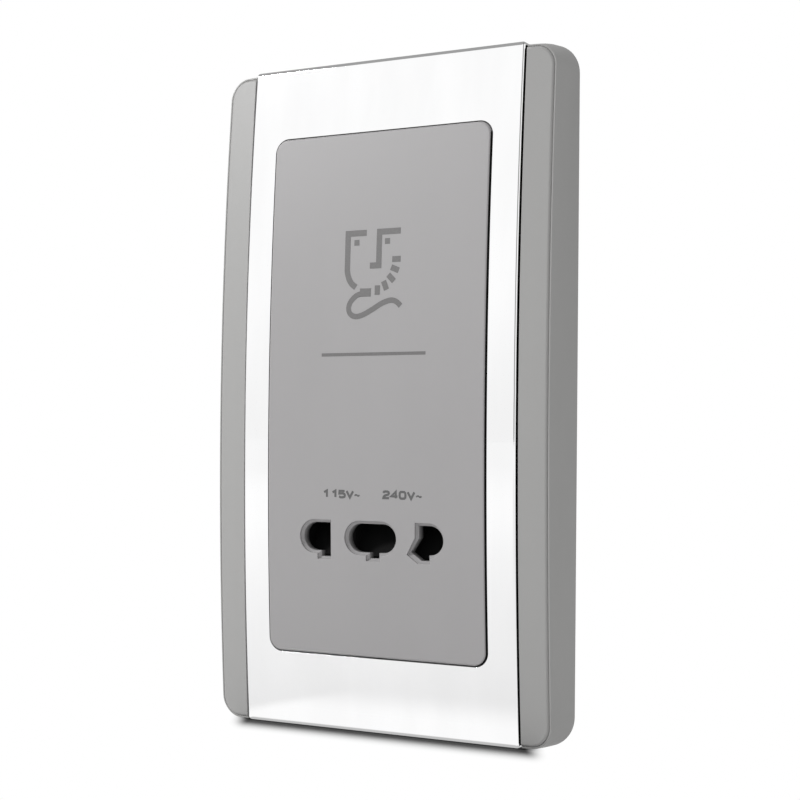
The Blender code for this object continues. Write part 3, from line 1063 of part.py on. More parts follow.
def smooth_route(points):
    """Places along a smooth curve through the points, about a step apart."""
    places = [Vector(points[0])]
    for index in range(len(points) - 1):
        around = [Vector(points[min(max(index + shift, 0), len(points) - 1)])
                  for shift in (-1, 0, 1, 2)]
        count = max(2, round((around[2] - around[1]).length / LEAD_STEP))
        for step in range(1, count + 1):
            t = step / count
            weights = (t * (-1 + t * (2 - t)), 2 + t * t * (3 * t - 5),
                       t * (1 + t * (4 - 3 * t)), t * t * (t - 1))
            places.append(sum((w * p for w, p in zip(weights, around)), Vector()) / 2)
    return places


def make_lead(name, points, colour):
    """Insulated wire along a route."""
    curve = bpy.data.curves.new(name, "CURVE")
    curve.dimensions = "3D"
    curve.bevel_depth = LEAD_RADIUS
    curve.bevel_resolution = 2
    curve.use_fill_caps = True
    route = smooth_route(points)
    spline = curve.splines.new("POLY")
    spline.points.add(len(route) - 1)
    for point, place in zip(spline.points, route):
        point.co = (*place, 1.0)
    wire = bpy.data.objects.new(name, curve)
    bpy.context.collection.objects.link(wire)
    return finish(wire, material(name + "_sleeve", colour, 0.5))


def make_leads():
    """Leads from the contacts to the coil, and from the terminals to the switch and the coil."""
    tail = TAIL_END_Y + SEAT
    coil_low = CORE_CENTRE_Z - 1.5 * CORE_UNIT
    coil_y = CORE_CENTRE_Y + CORE_STACK / 2 + 0.0045
    for name, which, coil_x in (("lead_115", "left", -0.0100), ("lead_common", "centre", -0.0020),
                                ("lead_240", "right", 0.0060)):
        x = sum(OPENING_SPANS[which]) / 2
        make_lead(name, [(x, tail, BLOCK_MID_Z), (x, tail + 0.003, BLOCK_MID_Z),
                         (x, tail + 0.007, BLOCK_MID_Z + 0.005),
                         ((x + coil_x) / 2, coil_y - 0.002, BLOCK_MID_Z + 0.016),
                         (coil_x, coil_y, coil_low - 0.014), (coil_x, coil_y, coil_low - 0.003),
                         (coil_x, coil_y, coil_low)], (0.6, 0.35, 0.1))

    live_x, earth_x, neutral_x = terminal_places()
    tag = TAG_END_Y - SEAT
    switch_end = CARRIER_BACK_Y + SEAT + SWITCH_DEPTH + SWITCH_TERMINAL + SEAT
    behind_block = BLOCK_BACK_Y + 2 * LEAD_RADIUS
    left, right = mirrored(SWITCH_TERMINAL_X)
    make_lead("lead_live", [(live_x, tag, TAG_Z), (live_x, tag - 0.002, TAG_Z + 0.0005),
                            (live_x + 0.001, behind_block, TAG_Z + 0.004),
                            (left, behind_block + 0.0005, TAG_Z + 0.012),
                            (left, behind_block + 0.002, SWITCH_Z - 0.010),
                            (left, switch_end + 0.003, SWITCH_Z - 0.004),
                            (left, switch_end + 0.0025, SWITCH_Z - 0.0005),
                            (left, switch_end, SWITCH_Z)], (0.35, 0.15, 0.06))
    neutral_lane = OPENING_SPANS["right"][1] + 0.0035
    make_lead("lead_neutral", [(neutral_x, tag, TAG_Z), (neutral_x + 0.001, tag - 0.002, TAG_Z),
                               (neutral_x + 0.005, behind_block, TAG_Z + 0.004),
                               (neutral_lane, behind_block + 0.001, TAG_Z + 0.014),
                               (neutral_lane, coil_y - 0.006, SWITCH_Z - 0.004),
                               (0.014, coil_y, coil_low - 0.014), (0.012, coil_y, coil_low - 0.004),
                               (0.012, coil_y, coil_low)], (0.05, 0.12, 0.45))
    earth_lane = (OPENING_SPANS["centre"][1] + OPENING_SPANS["right"][0]) / 2 - 0.0008
    core_foot = CORE_CENTRE_Z - 2.5 * CORE_UNIT - SEAT
    make_lead("lead_earth", [(earth_x, tag, TAG_Z), (earth_x + 0.0005, tag - 0.002, TAG_Z),
                             (earth_x + 0.003, behind_block, TAG_Z + 0.004),
                             (earth_lane, behind_block + 0.0005, TAG_Z + 0.014),
                             (earth_lane, behind_block + 0.006, SWITCH_Z - 0.006),
                             (0.015, CORE_CENTRE_Y + 0.003, SWITCH_Z + 0.008),
                             (0.018, CORE_CENTRE_Y, core_foot - 0.003),
                             (0.018, CORE_CENTRE_Y, core_foot)], (0.2, 0.4, 0.08))
    cutout_y = COIL_FRONT_Y - CUTOUT_DEPTH / 2
    cutout_foot = coil_low + BOBBIN_WALL + SEAT + 0.0008
    over_top = CARRIER_TOP_Z + 3 * LEAD_RADIUS
    make_lead("lead_switched", [(right, switch_end, SWITCH_Z),
                                (right, switch_end + 0.0025, SWITCH_Z + 0.0005),
                                (right, switch_end + 0.0025, SWITCH_Z + 0.006),
                                (right, behind_block, over_top + 0.0005),
                                (right - 0.001, CARRIER_FRONT_Y + 0.002, over_top + 0.0005),
                                (right - 0.003, cutout_y, over_top + 0.006),
                                (right - 0.0045, cutout_y, cutout_foot - 0.003),
                                (right - 0.0045, cutout_y, cutout_foot)], (0.35, 0.15, 0.06))


def main():
    clear_scene()
    make_surround()
    make_trim_frame()
    make_panel()
    shutter = make_shutter()
    for name, x in zip(("shutter_spring_left", "shutter_spring_right"), mirrored(SPRING_X)):
        make_spring(name, x)
    make_carrier()
    for name, which in (("contact_115", "left"), ("contact_common", "centre"),
                        ("contact_240", "right")):
        make_contact(name, which)
    make_switch()
    make_rear_housing()
    make_core()
    make_coil()
    make_terminals()
    make_screws()
    make_leads()
    set_origin(shutter, (0, SHUTTER_BACK_Y, PIN_ROW_Z))


main()
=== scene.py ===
"""Dual-voltage shaver socket: fine front pieces, print and finishes around the CAD frame.

X runs to the right, Y into the wall and Z up. The origin is the centre of the wall plane.
Sizes are in metres and angles in degrees where no comment says otherwise.
"""

import math

import bmesh
import bpy
from mathutils import Matrix, Vector


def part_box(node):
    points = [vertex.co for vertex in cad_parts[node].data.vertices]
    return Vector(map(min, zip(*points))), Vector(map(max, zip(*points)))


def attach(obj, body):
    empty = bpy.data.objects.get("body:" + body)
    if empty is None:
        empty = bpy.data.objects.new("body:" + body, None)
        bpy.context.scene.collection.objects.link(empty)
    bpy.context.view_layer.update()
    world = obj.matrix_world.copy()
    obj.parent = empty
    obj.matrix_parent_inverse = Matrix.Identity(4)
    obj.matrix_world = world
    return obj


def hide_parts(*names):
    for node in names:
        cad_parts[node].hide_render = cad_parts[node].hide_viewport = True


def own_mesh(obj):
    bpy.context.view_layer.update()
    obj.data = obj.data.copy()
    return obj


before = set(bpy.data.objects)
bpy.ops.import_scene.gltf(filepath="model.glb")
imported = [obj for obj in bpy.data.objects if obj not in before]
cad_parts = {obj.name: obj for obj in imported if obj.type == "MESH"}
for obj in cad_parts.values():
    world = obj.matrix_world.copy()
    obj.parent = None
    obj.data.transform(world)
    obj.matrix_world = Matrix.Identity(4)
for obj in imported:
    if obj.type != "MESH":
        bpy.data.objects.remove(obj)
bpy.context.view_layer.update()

MM = 0.001

# Camera
CAMERA_YAW = 28.86           # degrees round to the right of the object
CAMERA_PITCH = -1.66
CAMERA_ROLL = 0.64
CAMERA_DISTANCE = 0.3492
CAMERA_LENS = 71.75          # millimetres
CAMERA_TARGET = Vector((0.00122, 0.0, -0.00122))

# Plate: its outline as in the CAD, its crease and wings fitted more closely
PLATE_WIDTH = 0.086
PLATE_HEIGHT = 0.146
PLATE_CORNER = 0.0065
CREASE_WIDTH = 0.08085
CREASE_HEIGHT = 0.1441
CREASE_DROP = 0.00035        # the crease sits a little low on the plate
CREASE_CORNER = 0.0042
CREASE_BULGE = 0.0002        # added to each side at mid-height
CREASE_ROUND = 0.0006
CREASE_SHIFTS = (0.0, -0.0008)      # sideways, of the left and of the right crease
# Fine bead beside the crease: how far out and how deep
BEAD = ((0.00004, 0.00054), (0.00018, 0.00036), (0.00034, 0.00036), (0.00044, 0.00042),
        (0.0005, 0.00054))
WALL_SHARES = (0.04, 0.3, 0.6, 1.0)     # layers of the outer wall, from the bead back
WING_END_RISE = 0.0063
WING_BOW = 0.0029
WING_LEAN = 0.0009           # how far the outer side of a wing lies back
WING_EDGE = 0.0001           # rounding along the trim's groove
WALL = 0.002
DECK = 0.0016
DECK_WIDTH = 0.050
DECK_HEIGHT = 0.106
OPENING_CORNER = 0.002
COLLAR_RIB = 0.0016
RIB = 0.0012
RIB_COUNT = 5
RIB_SPACING = 0.024
FLANGE_FRONT_Y = -0.0023

# Trim frame
TRIM_WIDTH = 0.06675
TRIM_CORNER = 0.0008
TRIM_END_RISE = 0.00635
TRIM_BOW = 0.00318
TRIM_SKIN = 0.0012
TRIM_FLANGE = 0.003
TRIM_ROUND = 0.00065
TRIM_END_ROUND = 0.00085     # rounding of its upper and lower edges
TRIM_GROOVES = (0.00014, 0.00046)     # left and right of the frame, which sits off centre
TRIM_OPENING_WIDTH = 0.0538
TRIM_OPENING_HEIGHT = 0.1139
TRIM_OPENING_CORNER = 0.0032
TRIM_OPENING_EDGE = 0.00003  # rounding of the opening's rim
LEAST_TRIM_CORNER = TRIM_CORNER / 8
TAB_COUNT = 3
TAB_LENGTH = 0.006
TAB_DEPTH = 0.0022
TAB_SPACING = 0.046
TAB_INSET = 0.0002

# Socket panel
PANEL_GAP = 0.00024
PANEL_END_GAP = 0.0002
PANEL_OFF_CENTRE = -0.0001
PANEL_RISE = 0.00004
PANEL_PROUD = 0.0003
PANEL_SKIN = 0.0018
PANEL_ROUND = 0.0005
PANEL_ROUND_DEPTH = 0.0006
FACE_SHADE = (0.0009, 0.0032)       # depths behind the face over which painted shade darkens its colour
PANEL_LIP = 0.0013
LOCATING_DEPTH = 0.004
LOCATING_WALL = 0.0014
COLLAR_WALL = 0.0012
COLLAR_BACK_Y = -0.0065
BOSS_RADIUS = 0.0024
BOSS_X = 0.0219
BOSS_Z = 0.0476
BOSS_ENDS = {-1: -0.0002, 1: 0.0021}    # y where the lower and the upper bosses end
BOSS_STEPS = 20

# Pin openings
PIN_ROW_Z = -0.03115
HALF_PIN_HEIGHT = 0.00365
CENTRE_LEFT_ARC = -0.00335
CENTRE_RIGHT_ARC = 0.00215
LEFT_ARC = -0.01465
LEFT_FLAT_X = -0.01045
RIGHT_ARC = 0.01345
RIGHT_FLAT_X = 0.01027
BLADE_SPACING = 0.0121
BLADE_NOTCH_WIDTH = 0.0034
NOTCH_LOW_Z = -0.036
SLANT_SHIFT = 0.002
SLANT_START = 0.0005
SLANT_END = 0.00055
PIN_EDGE = 0.00015           # rounding of the openings' rims
PIN_RIM_DEPTH = 0.0004
PIN_STEP = 0.00055           # the openings taper in by this much
PIN_STEP_DEPTH = 0.0009

# Fixings
FIXING_Z = 0.0603
FIXING_SEAT_Y = -0.003
FIXING_HEAD = 0.0034
FIXING_SLOT = 0.0022
FIXING_BOSS = 0.0052
FIXING_RADIUS = 0.00175
# Side of the head, shank radius, head height and pitch
SCREWS = {"fixing": (-1, FIXING_RADIUS, 0.002, 0.0007),
          "housing": (1, 0.00125, 0.00176, 0.0006),
          "core": (-1, 0.00125, 0.00168, 0.0005),
          "clamp": (1, 0.0012, 0.00168, 0.0005)}
# Shares of a screw head's height or radius
HEAD_DOME = 0.6
HEAD_SLOT_DEPTH = 0.45
HEAD_SLOT_HALF_WIDTH = 0.14
HEAD_SLOT_REACH = 1.3
DOME_STEPS = 8
# Shares of a shank's radius
SHANK_TIP = 0.4
THREAD_START = 0.6
THREAD_SHORT = 1.6           # how much shorter the thread is than the shank
RIDGE = 0.3                  # share of the pitch

# Clearances and smoothness
SEAT = 0.0003
SIDE_ROOM = 0.0004
OVER = 0.002                 # how far a cutter reaches past what it cuts
BITE = 0.0004                # how far joined solids reach into each other
FINE_ROWS = 56
COARSE_ROWS = 12
FINE_CORNER = 12
COARSE_CORNER = 4
EDGE_STEPS = 6
ARC_STEPS = 20
WELD = 0.0000001
CAD_WELD = 0.000002
SHARP_ANGLE = 32.0
SIDEWAYS = 0.7               # share of a normal that tells a wall from a face
PAINTED_SHADE_BLACK = (0.01, 0.01, 0.01)      # painted shade deep in a gap

# Floor and the contact shadow painted on it
FLOOR_REACH = 3.0
FLOOR_GAP = 0.0002
FLOOR_TONE = (0.8, 0.8, 0.8)
SHADOW_TONE = (0.09, 0.09, 0.09)
SHADOW_FADE = 0.0115         # how far out it fades
SHADOW_FRONT = 0.007         # its dark part starts this far before the wall
SHADOW_DEPTH = 0.008
SHADOW_HALF_WIDTH = 0.034
SHADOW_SHIFT = 0.001
SHADOW_SLANT = 0.55          # how far it slides sideways for each step to the back
SHADOW_SIDE_FADE = 5.0       # how much sooner it fades at its sides

# Print
INK_LIFT = 0.00003
INK_DEPTH = 0.00012
SYMBOL_STROKE = 0.00133
SYMBOL_EYE = 0.00125
SHAVER_STROKE = 0.0018
CORD_STROKE = 0.0012
CHIN_X = -0.00095
CHIN_Z = 0.02857
BAR_STROKE = 0.0007
FIGURE_STROKE = 0.0005
FIGURE_HEIGHT = 0.00137      # between the centre lines of a figure's top and foot strokes
TILDE_SHARE = 0.7            # of the figures' stroke
LONGEST_RUN = 0.0015         # of a stroke before it is split to follow the bow
MITRE_LIMIT = 0.45           # keeps the corners of a stroke short


# Node trees

class Value:
    """A number in a node tree. Arithmetic on it adds Math nodes."""

    def __init__(self, tree, socket):
        self.tree = tree
        self.socket = socket

    def math(self, operation, *others):
        inputs = {index: other for index, other in enumerate((self, *others))}
        return self.tree.node("ShaderNodeMath", {"operation": operation}, inputs)

    def __add__(self, other):
        return self.math("ADD", other)

    def __mul__(self, other):
        return self.math("MULTIPLY", other)

    def __sub__(self, other):
        return self.math("SUBTRACT", other)

    def __rsub__(self, other):
        return (self * -1.0) + other

    def __truediv__(self, other):
        return self.math("DIVIDE", other)

    def smooth(self, low, high):
        """0 below low, 1 above high and a smooth step between them."""
        return self.tree.node("ShaderNodeMapRange", {"interpolation_type": "SMOOTHSTEP"},
                              {0: self, 1: low, 2: high, 3: 0.0, 4: 1.0})


class Tree:
    """A node tree, filled through one method."""

    def __init__(self, nodes_of):
        self.nodes_of = nodes_of

    def node(self, kind, settings=None, inputs=None, output=0):
        made = self.nodes_of.nodes.new(kind)
        for name, value in (settings or {}).items():
            setattr(made, name, value)
        for name, value in (inputs or {}).items():
            self.feed(made.inputs[name], value)
        return Value(self, made.outputs[output]) if len(made.outputs) else None

    def feed(self, socket, value):
        if isinstance(value, Value):
            self.nodes_of.links.new(value.socket, socket)
        else:
            socket.default_value = value


class Finish(Tree):
    """A material with a Principled shader and patterns on Object coordinates."""

    def __init__(self, name, roughness=0.4, metallic=0.0, specular=0.5):
        self.material = bpy.data.materials.new(name)
        self.material.use_nodes = True
        super().__init__(self.material.node_tree)
        self.shader = self.nodes_of.nodes["Principled BSDF"]
        self.set("Roughness", roughness)
        self.set("Metallic", metallic)
        self.set("Specular IOR Level", specular)
        self.place = self.node("ShaderNodeTexCoord", output="Object")

    def set(self, name, value):
        self.feed(self.shader.inputs[name], value)

    def noise(self, size, detail, stretch=(1.0, 1.0, 1.0)):
        """Noise whose features are about this size."""
        spread = self.node("ShaderNodeMapping", inputs={
            "Vector": self.place, "Scale": tuple(s / size for s in stretch)})
        return self.node("ShaderNodeTexNoise", inputs={
            "Vector": spread, "Scale": 1.0, "Detail": detail})

    def bands(self, spacing, axis):
        """Even bands across an axis, with a soft profile."""
        spread = self.node("ShaderNodeMapping", inputs={
            "Vector": self.place, "Scale": (1.0 / spacing,) * 3})
        return self.node("ShaderNodeTexWave", {"wave_type": "BANDS", "bands_direction": axis,
                                               "wave_profile": "SIN"},
                         {"Vector": spread, "Scale": math.pi / 10.0, "Distortion": 0.0}, 1)

    def blend(self, share, one, two):
        """A colour between two colours, each given as (r, g, b) or as a value."""
        one, two = (side if isinstance(side, Value) else (*side, 1.0) for side in (one, two))
        return self.node("ShaderNodeMix", {"data_type": "RGBA"}, {0: share, 6: one, 7: two}, 2)

    def bump(self, height, distance, strength=1.0):
        self.set("Normal", self.node("ShaderNodeBump", inputs={
            "Height": height, "Distance": distance, "Strength": strength}))


def moulded(name, colour, roughness, grain=0.00018, depth=0.000004, tone=0.035, specular=0.5,
            face=None):
    """Moulded plastic with a spark-eroded grain, faint flow marks and an uneven sheen.

    With a face, as (rise, bow), the colour darkens with the depth behind it: painted shade in
    recesses.
    """
    made = Finish(name, roughness, 0.0, specular)
    flow = made.noise(0.022, 3.0, (1.0, 1.0, 0.35))
    cells = made.noise(grain, 2.0)
    share = flow * 0.7 + cells * 0.3
    pale = tuple(min(1.0, c * (1.0 + tone)) for c in colour)
    deep = tuple(c * (1.0 - tone) for c in colour)
    tone_mix = made.blend(share.smooth(0.25, 0.75), deep, pale)
    if face:
        y, z = (made.node("ShaderNodeSeparateXYZ", inputs={0: made.place}, output=axis)
                for axis in (1, 2))
        behind = y + sum(face) - z * z * (face[1] / (PLATE_HEIGHT / 2) ** 2)
        # Painted shade: deeper behind the face, the colour darkens to black
        tone_mix = made.blend(behind.smooth(*FACE_SHADE), tone_mix, PAINTED_SHADE_BLACK)
    made.set("Base Color", tone_mix)
    made.set("Roughness", (flow - 0.5) * 0.12 + (cells - 0.5) * 0.1 + roughness)
    made.bump(cells, depth)
    return made.material


def bright(name, colour, roughness, brush=0.0):
    """Plated or rolled metal with faint wipe marks."""
    made = Finish(name, roughness, 1.0)
    wipe = made.noise(0.009, 3.0, (1.0, 1.0, 0.25))
    fine = made.noise(0.0004, 2.0, (0.08, 1.0, 1.0))
    deep = tuple(c * 0.97 for c in colour)
    made.set("Base Color", made.blend(wipe.smooth(0.3, 0.7), deep, colour))
    made.set("Roughness", (wipe - 0.5) * 0.05 + (fine - 0.5) * brush + roughness)
    made.bump(wipe * 0.6 + fine * 0.4, 0.000002 + brush * 0.00001, 0.3)
    return made.material


def layered(name, pale, deep, spacing, axis, roughness, metallic):
    """Rolled sheets or wire turns that show as even bands across an axis."""
    made = Finish(name, roughness, metallic)
    bands = made.bands(spacing, axis)
    patch = made.noise(0.004, 3.0)
    made.set("Base Color", made.blend((bands * 0.7 + patch * 0.3).smooth(0.1, 0.8), deep, pale))
    made.set("Roughness", (patch - 0.5) * 0.2 + roughness)
    made.bump(bands, spacing * 0.35)
    return made.material


def printed(name, colour):
    """Pad-printed ink, a little thinner in places."""
    made = Finish(name, 0.5)
    cells = made.noise(0.0003, 2.0)
    pale = tuple(c * 1.15 for c in colour)
    made.set("Base Color", made.blend(cells.smooth(0.35, 0.8), colour, pale))
    made.set("Roughness", (cells - 0.5) * 0.15 + 0.5)
    made.bump(cells, 0.000003)
    return made.material


# Shapes

def level(y):
    return lambda z: y


def bowed(back):
    """The trim frame's bowed face as y over z, moved back by this much."""
    return lambda z: back - TRIM_END_RISE - TRIM_BOW * (1 - (2 * z / PLATE_HEIGHT) ** 2)


def wing_face(back):
    """The same for the wings' bowed face."""
    return lambda z: back - WING_END_RISE - WING_BOW * (1 - (2 * z / PLATE_HEIGHT) ** 2)


def side_wall(share):
    """The plate's outer wall as y over z, this share of the way from its bead to the room's."""
    return lambda z: wing_face(BEAD[-1][1])(z) * (1 - share)


def easing(radius, deep=None):
    """Setback from the side and depth from the face of each step of a rounded edge."""
    turns = [math.pi / 2 * step / EDGE_STEPS for step in range(EDGE_STEPS + 1)]
    return [(radius * (1 - math.sin(turn)), (deep or radius) * (1 - math.cos(turn)))
            for turn in turns]


def setback(radius, depth):
    """How far a rounded edge lies back from its side at this depth."""
    return radius - math.sqrt(radius ** 2 - max(radius - depth, 0.0) ** 2)


def in_scene(name, data):
    made = bpy.data.objects.new(name, data)
    bpy.context.scene.collection.objects.link(made)
    return made


def new_piece(name, bm):
    bmesh.ops.triangulate(bm, faces=bm.faces)
    bmesh.ops.recalc_face_normals(bm, faces=bm.faces)
    mesh = bpy.data.meshes.new(name)
    bm.to_mesh(mesh)
    bm.free()
    return in_scene(name, mesh)


def rework(piece, change):
    """Changes the piece's own mesh through a bmesh."""
    bm = bmesh.new()
    bm.from_mesh(piece.data)
    change(bm)
    bm.to_mesh(piece.data)
    bm.free()
    return piece


def weld(piece, distance):
    return rework(piece, lambda bm: bmesh.ops.remove_doubles(bm, verts=bm.verts, dist=distance))


def face_out(piece):
    return rework(piece, lambda bm: bmesh.ops.recalc_face_normals(bm, faces=bm.faces))


def settle(piece):
    """Makes the modifiers' result the piece's own mesh."""
    graph = bpy.context.evaluated_depsgraph_get()
    mesh = bpy.data.meshes.new_from_object(piece.evaluated_get(graph), depsgraph=graph)
    piece.modifiers.clear()
    piece.data = mesh
    return piece


def combine(piece, others, operation):
    helpers = bpy.data.collections.new("helpers")
    for other in others:
        helpers.objects.link(other)
    change = piece.modifiers.new("combine", "BOOLEAN")
    change.operation = operation
    change.solver = "EXACT"
    change.operand_type = "COLLECTION"
    change.collection = helpers
    settle(piece)
    for other in others:
        bpy.data.objects.remove(other, do_unlink=True)
    bpy.data.collections.remove(helpers)
    return piece


def cut(piece, *others):
    return combine(piece, others, "DIFFERENCE")


def join(piece, *others):
    return combine(piece, others, "UNION")


def merge(piece, other):
    """Puts another closed shell into the piece's mesh."""
    rework(piece, lambda bm: bm.from_mesh(other.data))
    bpy.data.objects.remove(other, do_unlink=True)
    return piece


def polish(piece, angle=SHARP_ANGLE):
    """Smooth shading that stays flat on large faces."""
    weld(piece, WELD)
    piece.data.shade_smooth()
    piece.data.set_sharp_from_angle(angle=math.radians(angle))
    weighted = piece.modifiers.new("weighted", "WEIGHTED_NORMAL")
    weighted.keep_sharp = True
    return settle(piece)


def round_rows(width, height, radius, bulge=0.0, rows=FINE_ROWS, corner=FINE_CORNER):
    """Rows (left, right, z) across a rounded rectangle, from its top down."""
    ends = []
    for step in range(corner + 1):
        turn = math.pi / 2 * step / corner
        ends.append((width / 2 - radius * (1 - math.sin(turn)),
                     height / 2 - radius * (1 - math.cos(turn))))
    straight = height / 2 - radius
    sides = [(width / 2, straight * (1 - 2 * row / rows)) for row in range(1, rows)]
    lower = [(x, -z) for x, z in reversed(ends)]
    made = []
    for x, z in ends + sides + lower:
        reach = x + bulge * (1 - (2 * z / height) ** 2)
        made.append((-reach, reach, z))
    return made


def coarse(width, height, radius):
    return round_rows(width, height, radius, 0.0, COARSE_ROWS, COARSE_CORNER)


def block_rows(low_x, high_x, low_z, high_z, steps=COARSE_ROWS):
    return [(low_x, high_x, high_z + (low_z - high_z) * row / steps) for row in range(steps + 1)]


def bridge(bm, loops):
    """Faces between closed loops of equal length."""
    for one, two in zip(loops, loops[1:]):
        for start in range(len(one)):
            after = (start + 1) % len(one)
            bm.faces.new((one[start], one[after], two[after], two[start]))


def slab(name, layers):
    """A solid through stacked layers of rows, each on its own face, from the front back."""
    bm = bmesh.new()
    loops = []
    for rows, y_at in layers:
        left = [bm.verts.new((low, y_at(z), z)) for low, high, z in rows]
        right = [bm.verts.new((high, y_at(z), z)) for low, high, z in rows]
        loops.append((left, right))
    for left, right in (loops[0], loops[-1]):
        for row in range(len(left) - 1):
            bm.faces.new((left[row], right[row], right[row + 1], left[row + 1]))
    bridge(bm, [left + right[::-1] for left, right in loops])
    return new_piece(name, bm)


def loft(name, rings):
    """A solid through closed rings of points, capped at both ends."""
    bm = bmesh.new()
    loops = [[bm.verts.new(point) for point in ring] for ring in rings]
    bm.faces.new(loops[0])
    bm.faces.new(loops[-1])
    bridge(bm, loops)
    return new_piece(name, bm)


def prism(name, outline, low_y, high_y):
    return loft(name, [[(x, y, z) for x, z in outline] for y in (low_y, high_y)])


def box(name, x, y, z):
    outline = [(x[0], z[0]), (x[1], z[0]), (x[1], z[1]), (x[0], z[1])]
    return prism(name, outline, y[0], y[1])


def turned(name, centre, profile, steps=40):
    """A profile of (radius, y) turned about a line along Y. It starts and ends on the line."""
    bm = bmesh.new()
    rings = []
    for radius, y in profile[1:-1]:
        rings.append([bm.verts.new((centre[0] + radius * math.cos(2 * math.pi * step / steps), y,
                                    centre[1] + radius * math.sin(2 * math.pi * step / steps)))
                      for step in range(steps)])
    ends = [bm.verts.new((centre[0], profile[end][1], centre[1])) for end in (0, -1)]
    for step in range(steps):
        after = (step + 1) % steps
        bm.faces.new((ends[0], rings[0][step], rings[0][after]))
        bm.faces.new((ends[1], rings[-1][after], rings[-1][step]))
    bridge(bm, rings)
    return new_piece(name, bm)


def cylinder(name, centre, radius, low_y, high_y, steps=32):
    return turned(name, centre, [(0, low_y), (radius, low_y), (radius, high_y), (0, high_y)],
                  steps)


def arc(centre_x, centre_z, radius, start, end):
    points = []
    for step in range(ARC_STEPS + 1):
        turn = math.radians(start + (end - start) * step / ARC_STEPS)
        points.append((centre_x + radius * math.cos(turn), centre_z + radius * math.sin(turn)))
    return points


def smooth_line(points, steps):
    """A smooth line through (x, z) points."""
    line = [points[0]]
    for index in range(len(points) - 1):
        around = [points[min(max(index + shift, 0), len(points) - 1)] for shift in (-1, 0, 1, 2)]
        for step in range(1, steps + 1):
            t = step / steps
            weights = (t * (-1 + t * (2 - t)), 2 + t * t * (3 * t - 5),
                       t * (1 + t * (4 - 3 * t)), t * t * (t - 1))
            line.append(tuple(sum(w * p[axis] for w, p in zip(weights, around)) / 2
                              for axis in (0, 1)))
    return line


def shade(piece, finish, inside):
    """Gives a piece's walls a second material, painted shade, wherever inside(centre, normal) is
    true.
    """
    piece.data.materials.append(finish)
    for face in piece.data.polygons:
        if abs(face.normal.y) < SIDEWAYS and inside(face.center, face.normal):
            face.material_index = 1
    return piece


def show(piece, finish, body, slot, *nodes):
    """Gives a finished piece its material and body, and hides the CAD nodes it stands in for; the
    slot is not used.
    """
    piece.data.materials.clear()
    piece.data.materials.append(finish)
    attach(piece, body)
    if nodes:
        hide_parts(*nodes)
    return piece


# Front pieces

def opening_outline(which, grow=0.0):
    """Outline (x, z) of one pin opening, larger by grow on every side."""
    radius = HALF_PIN_HEIGHT + grow
    floor = NOTCH_LOW_Z - grow
    sill = PIN_ROW_Z - radius
    if which == "centre":
        half_notch = BLADE_NOTCH_WIDTH / 2 + grow
        return (arc(CENTRE_LEFT_ARC, PIN_ROW_Z, radius, 90, 270)
                + [(-half_notch, sill), (-half_notch, floor),
                   (half_notch, floor), (half_notch, sill)]
                + arc(CENTRE_RIGHT_ARC, PIN_ROW_Z, radius, -90, 90))
    if which == "left":
        flat = LEFT_FLAT_X + grow
        notch = LEFT_FLAT_X - BLADE_NOTCH_WIDTH - grow
        return (arc(LEFT_ARC, PIN_ROW_Z, radius, 90, 270)
                + [(notch, sill), (notch, floor), (flat, floor), (flat, PIN_ROW_Z + radius)])
    flat = RIGHT_FLAT_X - grow
    notch = BLADE_SPACING + BLADE_NOTCH_WIDTH / 2 + grow
    start = math.degrees(math.asin((notch - RIGHT_ARC) / radius)) - 90
    return (arc(RIGHT_ARC, PIN_ROW_Z, radius, start, 90)
            + [(flat, PIN_ROW_Z + radius), (flat, PIN_ROW_Z + SLANT_START),
               (flat - SLANT_SHIFT, sill + SLANT_END), (flat + SLANT_START, floor),
               (notch, floor)])


def tab_places():
    return [(side, side * TRIM_WIDTH / 2, (index - (TAB_COUNT - 1) / 2) * TAB_SPACING)
            for side in (-1, 1) for index in range(TAB_COUNT)]


def lean(piece):
    """Leans the face of each wing back towards its outer side."""
    start = TRIM_WIDTH / 2
    span = CREASE_WIDTH / 2 - CREASE_ROUND - start
    for vertex in piece.data.vertices:
        x, y, z = vertex.co
        out = min(max((abs(x) - start) / span, 0.0), 1.0)
        ahead = min(max(y / wing_face(BEAD[-1][1])(z), 0.0), 1.0)
        vertex.co = (x + out * ahead * CREASE_SHIFTS[x > 0], y + out * ahead * WING_LEAN, z)


